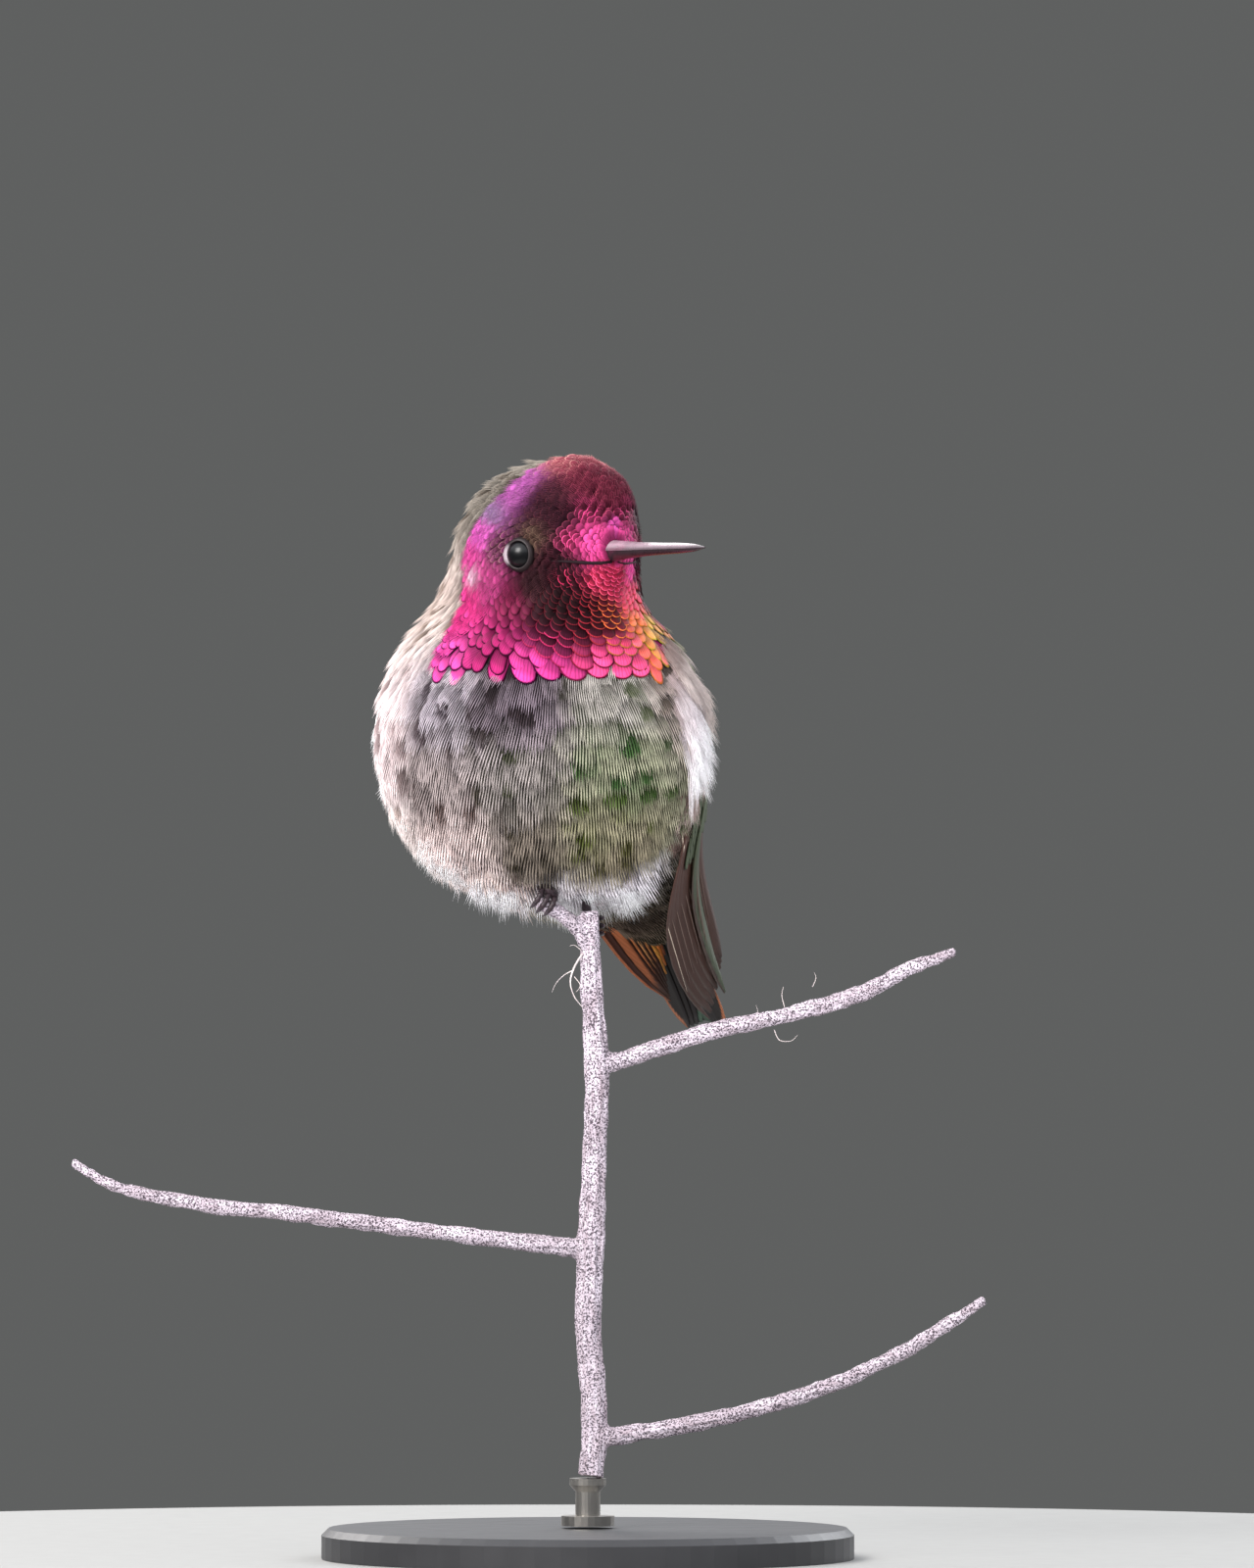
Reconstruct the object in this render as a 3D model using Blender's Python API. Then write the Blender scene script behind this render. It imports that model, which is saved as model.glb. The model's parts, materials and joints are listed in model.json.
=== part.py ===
"""A male Anna's hummingbird at life size, perched on a cut dead twig, on a plain display stand.

Metres, +Z up. The origin is the middle of the stand's underside. The front is -Y: the breast turns
a little to -X of it and the bill to +X. The body is laid out in its own frame (forward, left, up),
and so is the head.
"""

import math

import bmesh
import bpy
from mathutils import Matrix, Vector

MM = 0.001
GAP = 0.3 * MM  # clearance between pieces that touch

# Where the bird stands and how it is turned.
BODY_CENTRE = Vector((-4.9, 8.0, 97.5)) * MM
BODY_YAW = math.radians(-30)  # the breast turns to -X
HEAD_CENTRE = Vector((-4.1, 1.6, 119.9)) * MM
HEAD_YAW = math.radians(38)  # the bill turns to +X
BILL_PITCH = math.radians(2)

# The plumage's outer form, as soft lumps: (forward, left, up) of the middle, radii along those,
# and how far the lump's front is pitched up, in degrees.
TRUNK_LUMPS = {
    "breast": ((1.5, 0, 1.0), (18.7, 20.6, 19.9), 0),
    "belly": ((-5.5, 1, -6.5), (15.5, 15, 14), 0),
    "back": ((-7.5, 0, 1.5), (17, 15, 11.5), 50),
    "rump": ((-14.5, 0, -7.5), (15.5, 11.5, 9.5), 45),
    "vent": ((-12.5, 0, -12.5), (13.5, 10, 8.2), 28),
    "tail_root": ((-22.5, 0, -16.6), (10.5, 6.8, 5.4), 44),
}
HEAD_LUMPS = {
    "cranium": ((-1.0, 0, 0.3), (12.0, 10.9, 11.6), 0),
    "crest": ((4.2, 0, 4.2), (7.8, 8.3, 8.5), 0),
    "bill_base": ((8.6, 0, 0.2), (4.4, 3.8, 3.6), 0),
    "chin": ((5.0, 0, -7.0), (6.8, 8.2, 6.2), 0),
    "nape": ((-6.9, 0, -4.8), (9.5, 9.2, 9.8), 0),
    "gorget": ((1.6, 0, -12.0), (11.8, 13.6, 5.6), 0),
}
LUMP_VOXEL = 2.2 * MM
LUMP_SMOOTHING = 5
HEAD_CUT_UP = -8.0 * MM  # the cut between head and neck, from the head's centre
NECK_CUT_UP = -15.0 * MM
HEAD_CUT_TILT = math.radians(8)

# The eye, from the head's centre: (forward, left, up), for the left one.
EYE_PLACE = (3.9, 7.8, 0.5)
EYE_RADIUS = 1.8 * MM

# The bill, from its root inside the head: (distance, half height, half width).
BILL_ROOT_FORWARD = 8.6 * MM
BILL_ROOT_UP = 0.55 * MM
BILL_PROFILE = (
    (0.0, 1.05, 1.3),
    (3.5, 0.95, 1.1),
    (8.0, 0.84, 0.88),
    (12.5, 0.74, 0.72),
    (16.8, 0.62, 0.58),
    (19.4, 0.38, 0.36),
    (20.8, 0.1, 0.1),
)
BILL_SIDES = 12

# The folded left wing from wrist to tip, in the body's frame:
# (forward, left, up) of the middle, half width, half thickness, how far its outside turns to the back.
WING_STATIONS = (
    ((-3.2, 15.8, 4.3), 2.4, 0.8, 0.05),
    ((-6.5, 16.1, 1.8), 4.5, 1.1, 0.15),
    ((-12.0, 14.4, -4.0), 5.4, 1.1, 0.45),
    ((-18.5, 10.6, -10.8), 5.2, 0.9, 0.5),
    ((-25.0, 6.9, -17.5), 4.4, 0.65, 0.7),
    ((-31.5, 4.8, -24.3), 3.7, 0.45, 1.0),
    ((-35.8, 3.7, -28.8), 2.2, 0.35, 1.1),
    ((-38.0, 3.0, -31.2), 0.7, 0.27, 1.1),
)
WING_STEPS = 3  # sections between two stations
BLADE_SIDES = 8

# The closed tail from root to tip: (forward, left, up), half width, half thickness.
TAIL_STATIONS = (
    ((-20.5, 0, -14.6), 3.4, 0.9),
    ((-26.0, 0, -20.4), 4.3, 0.75),
    ((-32.0, 0, -26.6), 4.0, 0.55),
    ((-37.0, 0, -31.9), 3.3, 0.4),
    ((-39.8, 0, -34.8), 2.4, 0.3),
)
TAIL_NOTCH_DEPTH = 1.6 * MM
TAIL_NOTCH_WIDTH = 2.4 * MM

# The perch: a dead stem, its forked top, and three side branches. Each is a route with radii.
STEM_ROUTE = (
    ((0.3, 0.0, 9.9), 1.6),
    ((0.8, 0.2, 14.5), 1.62),
    ((0.1, 0.1, 29.0), 1.6),
    ((0.4, -0.1, 38.5), 1.68),
    ((0.9, 0.0, 50.5), 1.42),
    ((1.1, 0.1, 59.3), 1.5),
    ((0.5, 0.0, 68.0), 1.3),
    ((0.2, -0.1, 77.6), 1.12),
)
FORK_ROUTE = (
    ((0.4, -0.3, 73.0), 1.15),
    ((-1.9, -1.0, 76.3), 0.9),
    ((-5.9, -2.2, 78.9), 0.8),
)
BRANCH_ROUTES = {
    "perch_branch_upper": (
        ((1.2, 0.1, 59.0), 1.15),
        ((4.6, 0.3, 60.0), 1.05),
        ((14.0, 1.2, 63.0), 1.0),
        ((24.0, 1.8, 65.2), 0.95),
        ((33.0, 2.2, 67.8), 1.0),
        ((38.5, 2.3, 70.7), 0.8),
        ((44.2, 2.2, 72.8), 0.5),
    ),
    "perch_branch_left": (
        ((0.2, -0.1, 37.0), 1.15),
        ((-4.0, -0.4, 37.5), 1.05),
        ((-18.0, -2.0, 39.2), 0.9),
        ((-36.0, -3.4, 41.5), 0.9),
        ((-50.5, -3.6, 43.2), 0.8),
        ((-57.5, -3.0, 45.1), 0.6),
        ((-61.8, -2.4, 47.6), 0.45),
    ),
    "perch_branch_lower": (
        ((0.8, 0.0, 14.3), 1.1),
        ((4.0, -0.3, 14.8), 1.05),
        ((14.0, -1.6, 16.5), 0.98),
        ((27.0, -2.8, 20.1), 0.92),
        ((38.5, -3.2, 25.3), 0.85),
        ((47.6, -3.0, 31.1), 0.55),
    ),
}
TWIG_RESOLUTION = 3

# The feet: each toe is an arc round what it grips.
TOE_RADIUS = 0.34 * MM
CLAW_RADIUS = 0.25 * MM  # at its tip
TOE_ROOT_ANGLE = math.radians(14)
TOE_STEPS = 6
TOE_SIDES = 6
TARSUS_RADIUS = 0.55 * MM
RIGHT_LEG_TOP = (4.0, -1.5, -13.5)  # in the plumage, in the body's frame
LEFT_LEG_TOP = (0.5, 4.5, -13.5)
TOE_SPREAD = 0.95 * MM  # between toes, along what they grip
PALM_RADIUS = 1.35 * MM
PALM_FLATNESS = 0.5
RIGHT_GRIP_SHARE = 0.93  # how far along the fork the right foot sits
LEFT_GRIP_HEIGHT = 75.9 * MM
RIGHT_REACH = (math.radians(165), math.radians(130))  # of the front toes and the hind one
LEFT_REACH = (math.radians(85), math.radians(40))

# The stand.
BASE_RADIUS = 32 * MM
BASE_THICKNESS = 3.6 * MM
BASE_BEVEL = 0.8 * MM
ROD_RADIUS = 1.5 * MM
ROD_COLLAR_RADIUS = 3.2 * MM
ROD_COLLAR_HEIGHT = 1.2 * MM
ROD_SEAT_RADIUS = 2.2 * MM
ROD_SEAT_HEIGHT = 1.6 * MM
ROUND_SEGMENTS = 64
ROD_SEGMENTS = 24


def clear_scene():
    for old in list(bpy.data.objects):
        bpy.data.objects.remove(old)


def material(name, colour, roughness, metallic=0.0):
    made = bpy.data.materials.new(name)
    made.use_nodes = True
    shader = made.node_tree.nodes["Principled BSDF"]
    shader.inputs["Base Color"].default_value = (*colour, 1.0)
    shader.inputs["Roughness"].default_value = roughness
    shader.inputs["Metallic"].default_value = metallic
    return made


def body_frame():
    return Matrix.Translation(BODY_CENTRE) @ Matrix.Rotation(BODY_YAW, 4, "Z")


def head_frame():
    return Matrix.Translation(HEAD_CENTRE) @ Matrix.Rotation(HEAD_YAW, 4, "Z")


def placed(frame, place):
    """A point given in millimetres as (forward, left, up) in a frame whose forward is -Y."""
    forward, left, up = place
    return frame @ (Vector((left, -forward, up)) * MM)


def turned(frame, direction):
    forward, left, up = direction
    return (frame.to_3x3() @ Vector((left, -forward, up))).normalized()


def new_object(name, bm, paint=None):
    mesh = bpy.data.meshes.new(name)
    bm.to_mesh(mesh)
    bm.free()
    made = bpy.data.objects.new(name, mesh)
    bpy.context.scene.collection.objects.link(made)
    if paint:
        mesh.materials.append(paint)
    return made


def settled(made):
    """The object with its modifiers worked into its mesh."""
    bpy.context.view_layer.update()
    graph = bpy.context.evaluated_depsgraph_get()
    mesh = bpy.data.meshes.new_from_object(made.evaluated_get(graph))
    made.modifiers.clear()
    if made.type == "CURVE":
        replacement = bpy.data.objects.new(made.name, mesh)
        bpy.context.scene.collection.objects.link(replacement)
        name = made.name
        bpy.data.objects.remove(made)
        replacement.name = name
        made = replacement
    else:
        made.data = mesh
    made.data.name = made.name
    return made


def smooth_shaded(made, angle=math.radians(35)):
    made.data.shade_smooth()
    made.data.set_sharp_from_angle(angle=angle)
    return made


def lofted(rings):
    """A closed bmesh through rings of points, with both ends filled."""
    bm = bmesh.new()
    loops = []
    for ring in rings:
        verts = [bm.verts.new(point) for point in ring]
        edges = [bm.edges.new((verts[i - 1], verts[i])) for i in range(len(verts))]
        loops.append((verts, edges))
    for (_, first), (_, second) in zip(loops, loops[1:]):
        bmesh.ops.bridge_loops(bm, edges=first + second)
    bm.faces.new(loops[0][0])
    bm.faces.new(loops[-1][0])
    bmesh.ops.recalc_face_normals(bm, faces=bm.faces)
    return bm


def ellipse_ring(centre, across, upward, sides):
    """Points round an ellipse whose two half axes are the vectors given."""
    angles = [2 * math.pi * i / sides for i in range(sides)]
    return [centre + across * math.cos(a) + upward * math.sin(a) for a in angles]


def between(values, steps):
    """Rows of numbers smoothed through the given rows, by Catmull-Rom, with steps for each span."""
    rows = [list(v) for v in values]
    padded = [rows[0], *rows, rows[-1]]
    found = []
    for k in range(1, len(padded) - 2):
        for s in range(steps):
            t = s / steps
            found.append(
                [
                    0.5
                    * (
                        2 * b
                        + (c - a) * t
                        + (2 * a - 5 * b + 4 * c - d) * t * t
                        + (3 * b - a - 3 * c + d) * t**3
                    )
                    for a, b, c, d in zip(*padded[k - 1 : k + 3])
                ]
            )
    found.append(rows[-1])
    return found


def cut_from(made, *cutters):
    """Takes the cutters' shapes out of made, and leaves the cutters hidden."""
    for cutter in cutters:
        cutter.hide_render = True
        cutter.display_type = "WIRE"
        boolean = made.modifiers.new("cut", "BOOLEAN")
        boolean.operation = "DIFFERENCE"
        boolean.object = cutter
    return settled(made)


def joined(first, others):
    """One solid of several that overlap."""
    for other in others:
        union = first.modifiers.new("join", "BOOLEAN")
        union.operation = "UNION"
        union.object = other
    settled(first)
    for other in others:
        bpy.data.objects.remove(other)
    return first


# Plumage ------------------------------------------------------------------------------------------


def add_lumps(bm, frame, lumps):
    for middle, radii, pitch in lumps.values():
        forward, left, up = (radius * MM for radius in radii)
        place = Matrix.Translation(placed(frame, middle))
        turn = frame.to_3x3().to_4x4() @ Matrix.Rotation(math.radians(-pitch), 4, "X")
        size = Matrix.Diagonal((left, forward, up, 1.0))
        bmesh.ops.create_icosphere(bm, subdivisions=4, radius=1.0, matrix=place @ turn @ size)


def plumage_form():
    """Head, neck and trunk as one soft form, out to the tips of the feathers."""
    bm = bmesh.new()
    add_lumps(bm, body_frame(), TRUNK_LUMPS)
    add_lumps(bm, head_frame(), HEAD_LUMPS)
    form = new_object("plumage_form", bm)
    remesh = form.modifiers.new("fuse", "REMESH")
    remesh.mode = "VOXEL"
    remesh.voxel_size = LUMP_VOXEL
    smooth = form.modifiers.new("smooth", "SMOOTH")
    smooth.factor = 0.5
    smooth.iterations = LUMP_SMOOTHING
    return settled(form)


def slice_of(form, name, paint, below=None, above=None):
    """The part of the form under one plane and over another, half a gap from each, with its cuts closed.

    A plane is (point, normal).
    """
    bm = bmesh.new()
    bm.from_mesh(form.data)
    for plane, outer in ((below, True), (above, False)):
        if plane is None:
            continue
        point, normal = plane
        point = point - normal * GAP / 2 if outer else point + normal * GAP / 2
        bmesh.ops.bisect_plane(
            bm,
            geom=bm.verts[:] + bm.edges[:] + bm.faces[:],
            plane_co=point,
            plane_no=normal,
            clear_outer=outer,
            clear_inner=not outer,
        )
        rim = [edge for edge in bm.edges if edge.is_boundary]
        bmesh.ops.contextual_create(bm, geom=rim)
    bmesh.ops.recalc_face_normals(bm, faces=bm.faces)
    return new_object(name, bm, paint)


# Bill and eyes ------------------------------------------------------------------------------------


def bill_shape(name, paint=None, extra=0.0):
    """The closed bill, or a little more for its socket in the head."""
    frame = head_frame()
    root = placed(frame, (BILL_ROOT_FORWARD / MM, 0, BILL_ROOT_UP / MM))
    pointing = Matrix.Rotation(BILL_PITCH, 3, frame.to_3x3() @ Vector((1, 0, 0)))
    ahead = pointing.inverted() @ turned(frame, (1, 0, 0))
    side = turned(frame, (0, 1, 0))
    up = side.cross(ahead)
    rings = []
    for distance, height, width in between(BILL_PROFILE, 2):
        middle = root + ahead * (distance * MM - extra)
        rings.append(
            ellipse_ring(
                middle, side * (width * MM + extra), up * (height * MM + extra), BILL_SIDES
            )
        )
    return new_object(name, lofted(rings), paint), (root, up)


def bill(paint):
    whole, (root, up) = bill_shape("bill_whole")
    smooth_shaded(slice_of(whole, "bill_upper", paint, above=(root, up)))
    smooth_shaded(slice_of(whole, "bill_lower", paint, below=(root, up)))
    bpy.data.objects.remove(whole)


def eyeball(name, side, paint=None, extra=0.0):
    forward, left, up = EYE_PLACE
    bm = bmesh.new()
    place = Matrix.Translation(placed(head_frame(), (forward, left * side, up)))
    bmesh.ops.create_icosphere(bm, subdivisions=2, radius=EYE_RADIUS + extra, matrix=place)
    return smooth_shaded(new_object(name, bm, paint))


# Wings and tail -----------------------------------------------------------------------------------


def wing_shape(name, side, paint=None, extra=0.0):
    """A folded wing as one curved blade. side is 1 for the left wing and -1 for the right."""
    frame = body_frame()
    rows = [(*place, width, depth, back) for place, width, depth, back in WING_STATIONS]
    rows = between(rows, WING_STEPS)
    middles = [placed(frame, (f, left * side, up)) for f, left, up, *_ in rows]
    rings = []
    for i, (_, _, _, width, depth, back) in enumerate(rows):
        along = (middles[min(i + 1, len(rows) - 1)] - middles[max(i - 1, 0)]).normalized()
        outward = turned(frame, (-back, side, 0))
        upward = along.cross(outward).normalized()
        outward = upward.cross(along).normalized()
        rings.append(
            ellipse_ring(
                middles[i],
                upward * (width * MM + extra),
                outward * (depth * MM + extra),
                BLADE_SIDES,
            )
        )
    return smooth_shaded(new_object(name, lofted(rings), paint))


def tail_shape(name, paint=None, extra=0.0):
    frame = body_frame()
    rows = between([(*place, width, depth) for place, width, depth in TAIL_STATIONS], WING_STEPS)
    middles = [placed(frame, row[:3]) for row in rows]
    side = turned(frame, (0, 1, 0))
    rings = []
    for i, (_, _, _, width, depth) in enumerate(rows):
        along = (middles[min(i + 1, len(rows) - 1)] - middles[max(i - 1, 0)]).normalized()
        rings.append(
            ellipse_ring(
                middles[i],
                side * (width * MM + extra),
                along.cross(side) * (depth * MM + extra),
                BLADE_SIDES,
            )
        )
    made = new_object(name, lofted(rings), paint)
    if paint:
        made = cut_from(made, tail_notch(middles[-1], along, side))
    return smooth_shaded(made)


def tail_notch(tip, along, side):
    """A wedge with its edge across the blade, for the shallow fork between the tail's two halves."""
    through = along.cross(side)
    rings = []
    for height in (-TAIL_NOTCH_WIDTH, TAIL_NOTCH_WIDTH):
        middle = tip + through * height
        far = middle + along * TAIL_NOTCH_DEPTH
        rings.append(
            [
                middle - along * TAIL_NOTCH_DEPTH,
                far + side * TAIL_NOTCH_WIDTH,
                far - side * TAIL_NOTCH_WIDTH,
            ]
        )
    return new_object("tail_notch", lofted(rings))


# Perch --------------------------------------------------------------------------------------------


def twig(name, route, paint=None, extra=0.0):
    """A round twig along a smooth route, with a radius at each point of it."""
    curve = bpy.data.curves.new(name, "CURVE")
    curve.dimensions = "3D"
    curve.bevel_depth = MM
    curve.bevel_resolution = 2
    curve.resolution_u = TWIG_RESOLUTION
    curve.use_fill_caps = True
    spline = curve.splines.new("BEZIER")
    spline.bezier_points.add(len(route) - 1)
    for knot, (place, radius) in zip(spline.bezier_points, route):
        knot.co = Vector(place) * MM
        knot.handle_left_type = knot.handle_right_type = "AUTO"
        knot.radius = radius + extra / MM
    made = bpy.data.objects.new(name, curve)
    bpy.context.scene.collection.objects.link(made)
    made = settled(made)
    bm = bmesh.new()
    bm.from_mesh(made.data)
    bmesh.ops.remove_doubles(bm, verts=bm.verts, dist=1e-7)
    bmesh.ops.recalc_face_normals(bm, faces=bm.faces)
    bm.to_mesh(made.data)
    bm.free()
    if paint:
        made.data.materials.append(paint)
    return smooth_shaded(made)


# Feet ---------------------------------------------------------------------------------------------


def toe(name, axis_point, axis, start, reach, radius, extra):
    """An arc of toe and claw round an axis, from a little before the start to the reach angle past it."""
    rings = []
    for i in range(TOE_STEPS + 1):
        share = i / TOE_STEPS
        angle = (reach + TOE_ROOT_ANGLE) * share - TOE_ROOT_ANGLE
        out = Matrix.Rotation(angle, 3, axis) @ start
        drop = 1 + 0.12 * math.sin(math.pi * share)
        middle = axis_point + out * radius * drop
        thick = (TOE_RADIUS if share < 0.75 else CLAW_RADIUS) + extra
        rings.append(ellipse_ring(middle, out * thick, axis * thick, TOE_SIDES))
    return new_object(name, lofted(rings))


def foot(name, grip, tarsus_top, paint=None, extra=0.0):
    """A leg: a tarsus, three toes over the front of the perch and one behind, joined in one solid."""
    place, perch_radius, axis, back, (front_reach, hind_reach) = grip
    radius = perch_radius + GAP + TOE_RADIUS
    top = axis.cross(back).normalized()
    if top.z < 0:
        top = -top
    ahead = -back
    turn_to_front = axis if axis.cross(top).dot(ahead) > 0 else -axis
    pieces = []
    for k in (-1, 0, 1):
        pieces.append(
            toe(
                f"{name}_toe",
                place + axis * TOE_SPREAD * k,
                turn_to_front,
                top,
                front_reach * (1 - 0.08 * abs(k)),
                radius,
                extra,
            )
        )
    pieces.append(toe(f"{name}_hind", place, -turn_to_front, top, hind_reach, radius, extra))
    ankle = place + top * (perch_radius + GAP + PALM_RADIUS * PALM_FLATNESS)
    palm = bmesh.new()
    turn = Matrix((axis, top.cross(axis), top)).transposed().to_4x4()
    size = Matrix.Diagonal((1.0, 1.0, PALM_FLATNESS, 1.0))
    bmesh.ops.create_icosphere(
        palm,
        subdivisions=2,
        radius=PALM_RADIUS + extra,
        matrix=Matrix.Translation(ankle) @ turn @ size,
    )
    along = (tarsus_top - ankle).normalized()
    across = along.orthogonal().normalized()
    rings = [
        ellipse_ring(
            point, across * (TARSUS_RADIUS + extra), along.cross(across) * (TARSUS_RADIUS + extra), 8
        )
        for point in (ankle, tarsus_top + along * extra)
    ]
    pieces.append(new_object(f"{name}_tarsus", lofted(rings)))
    made = joined(new_object(name, palm, paint), pieces)
    return smooth_shaded(made)


# Stand --------------------------------------------------------------------------------------------


def turned_profile(name, profile, segments, paint):
    """A solid turned about the Z axis from (radius, height) points that start and end on the axis."""
    bm = bmesh.new()
    verts = [bm.verts.new((radius, 0, height)) for radius, height in profile]
    edges = [bm.edges.new(pair) for pair in zip(verts, verts[1:])]
    bmesh.ops.spin(
        bm,
        geom=verts + edges,
        cent=(0, 0, 0),
        axis=(0, 0, 1),
        angle=2 * math.pi,
        steps=segments,
        use_merge=True,
    )
    bmesh.ops.remove_doubles(bm, verts=bm.verts, dist=1e-7)
    bmesh.ops.recalc_face_normals(bm, faces=bm.faces)
    return smooth_shaded(new_object(name, bm, paint))


def stand(base_paint, rod_paint):
    turned_profile(
        "stand_base",
        (
            (0, 0),
            (BASE_RADIUS, 0),
            (BASE_RADIUS, BASE_THICKNESS - BASE_BEVEL),
            (BASE_RADIUS - BASE_BEVEL, BASE_THICKNESS),
            (0, BASE_THICKNESS),
        ),
        ROUND_SEGMENTS,
        base_paint,
    )
    foot_z = BASE_THICKNESS + GAP
    seat_z = STEM_ROUTE[0][0][2] * MM - GAP
    turned_profile(
        "stand_rod",
        (
            (0, foot_z),
            (ROD_COLLAR_RADIUS, foot_z),
            (ROD_COLLAR_RADIUS, foot_z + ROD_COLLAR_HEIGHT),
            (ROD_RADIUS, foot_z + ROD_COLLAR_HEIGHT),
            (ROD_RADIUS, seat_z - ROD_SEAT_HEIGHT),
            (ROD_SEAT_RADIUS, seat_z - ROD_SEAT_HEIGHT / 2),
            (ROD_SEAT_RADIUS, seat_z),
            (0, seat_z),
        ),
        ROD_SEGMENTS,
        rod_paint,
    )


def grips():
    """What each foot holds: the place, its radius, its direction, the way to its back, the reach."""
    lower, upper = (Vector(FORK_ROUTE[k][0]) * MM for k in (1, 2))
    axis = (upper - lower).normalized()
    back = Vector((0, 1, 0))
    back = (back - axis * back.dot(axis)).normalized()
    right = (lower.lerp(upper, RIGHT_GRIP_SHARE), FORK_ROUTE[2][1] * MM, axis, back, RIGHT_REACH)
    top, radius = STEM_ROUTE[-1]
    stem = Vector((top[0] * MM, top[1] * MM, LEFT_GRIP_HEIGHT))
    left = (stem, radius * MM + GAP / 2, Vector((0, 0, -1)), Vector((-1, 0, 0)), LEFT_REACH)
    return right, left


def main():
    clear_scene()
    plumage = material("plumage", (0.42, 0.40, 0.34), 0.8)
    gorget = material("gorget", (0.62, 0.05, 0.22), 0.4)
    horn = material("bill", (0.06, 0.05, 0.05), 0.35)
    dark_eye = material("eye", (0.01, 0.01, 0.012), 0.05)
    flight = material("flight_feathers", (0.12, 0.09, 0.08), 0.6)
    scaly = material("foot", (0.05, 0.04, 0.045), 0.6)
    bark = material("dead_wood", (0.55, 0.52, 0.55), 0.9)
    base_paint = material("stand_base", (0.08, 0.08, 0.085), 0.45)
    rod_paint = material("stand_rod", (0.35, 0.33, 0.30), 0.35, 1.0)

    stand(base_paint, rod_paint)

    stem = twig("perch_stem", STEM_ROUTE, bark)
    around_stem = twig("stem_clearance", STEM_ROUTE, extra=GAP)
    fork = cut_from(twig("perch_fork", FORK_ROUTE, bark), around_stem)
    for name, route in BRANCH_ROUTES.items():
        cut_from(twig(name, route, bark), around_stem)

    right_grip, left_grip = grips()
    right_top = placed(body_frame(), RIGHT_LEG_TOP)
    left_top = placed(body_frame(), LEFT_LEG_TOP)
    foot("leg_right", right_grip, right_top, scaly)
    foot("leg_left", left_grip, left_top, scaly)

    wing_shape("wing_left", 1, flight)
    wing_shape("wing_right", -1, flight)
    tail_shape("tail", flight)
    bill(horn)
    eyeball("eye_left", 1, dark_eye)
    eyeball("eye_right", -1, dark_eye)

    form = plumage_form()
    up = Vector((0, 0, 1))
    tilt = Matrix.Rotation(-HEAD_CUT_TILT, 3, turned(head_frame(), (0, 1, 0)))
    head_plane = (HEAD_CENTRE + up * HEAD_CUT_UP, tilt @ up)
    neck_plane = (HEAD_CENTRE + up * NECK_CUT_UP, up)
    head = slice_of(form, "head", gorget, above=head_plane)
    smooth_shaded(slice_of(form, "neck", gorget, below=head_plane, above=neck_plane))
    trunk = slice_of(form, "trunk", plumage, below=neck_plane)
    bpy.data.objects.remove(form)

    bill_socket, _ = bill_shape("bill_socket", extra=GAP)
    smooth_shaded(
        cut_from(
            head,
            bill_socket,
            eyeball("eye_socket_left", 1, extra=GAP),
            eyeball("eye_socket_right", -1, extra=GAP),
        )
    )
    smooth_shaded(
        cut_from(
            trunk,
            wing_shape("wing_recess_left", 1, extra=GAP),
            wing_shape("wing_recess_right", -1, extra=GAP),
            tail_shape("tail_socket", extra=GAP),
            foot("leg_socket_right", right_grip, right_top, extra=GAP),
            foot("leg_socket_left", left_grip, left_top, extra=GAP),
            twig("fork_clearance", FORK_ROUTE, extra=GAP),
            around_stem,
        )
    )


main()
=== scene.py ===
"""The looks of a male Anna's hummingbird, perched on a cut dead twig on a display stand.

Lengths are in metres, +Z is up, and the front is -Y. Feathers are solid mesh laid on a chart of the
bird's form that runs from the bill's root to the tail's.
"""

import json
import math

import bmesh
import bpy
import numpy as np
from mathutils import Matrix, Vector, noise
from mathutils.bvhtree import BVHTree

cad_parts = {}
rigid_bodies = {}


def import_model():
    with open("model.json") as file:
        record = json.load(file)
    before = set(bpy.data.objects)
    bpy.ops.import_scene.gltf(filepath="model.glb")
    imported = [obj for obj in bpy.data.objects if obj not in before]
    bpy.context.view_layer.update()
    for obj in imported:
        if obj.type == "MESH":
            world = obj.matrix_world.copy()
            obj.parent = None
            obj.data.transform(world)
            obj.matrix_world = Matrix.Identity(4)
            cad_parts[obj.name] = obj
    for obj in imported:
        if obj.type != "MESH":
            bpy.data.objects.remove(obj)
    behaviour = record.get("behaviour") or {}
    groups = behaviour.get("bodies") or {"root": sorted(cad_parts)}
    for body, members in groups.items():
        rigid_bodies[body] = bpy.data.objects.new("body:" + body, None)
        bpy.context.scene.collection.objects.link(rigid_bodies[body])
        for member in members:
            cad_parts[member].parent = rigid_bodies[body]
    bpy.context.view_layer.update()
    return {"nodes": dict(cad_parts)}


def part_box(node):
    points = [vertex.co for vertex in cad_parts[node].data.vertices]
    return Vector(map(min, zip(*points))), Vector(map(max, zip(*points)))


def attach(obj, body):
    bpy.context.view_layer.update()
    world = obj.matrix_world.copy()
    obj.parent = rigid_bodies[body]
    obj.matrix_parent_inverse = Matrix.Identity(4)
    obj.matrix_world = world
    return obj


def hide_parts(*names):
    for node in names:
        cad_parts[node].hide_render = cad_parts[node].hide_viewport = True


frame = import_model()
nodes = frame["nodes"]
MM = 0.001


# The view ------------------------------------------------------------------------------------------
# A long lens two metres off at the height of the breast, soft lamps over a small pale table, and a
# dim grey room behind.

CAMERA_PLACE = (4.706 * MM, -2.0, 92.94 * MM)
CAMERA_LENS = 382.5
CAMERA_FAR = 20
ROOM_GREY = (0.115, 0.118, 0.117)
ROOM_LIGHT = (0.62, 0.64, 0.68)
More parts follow.
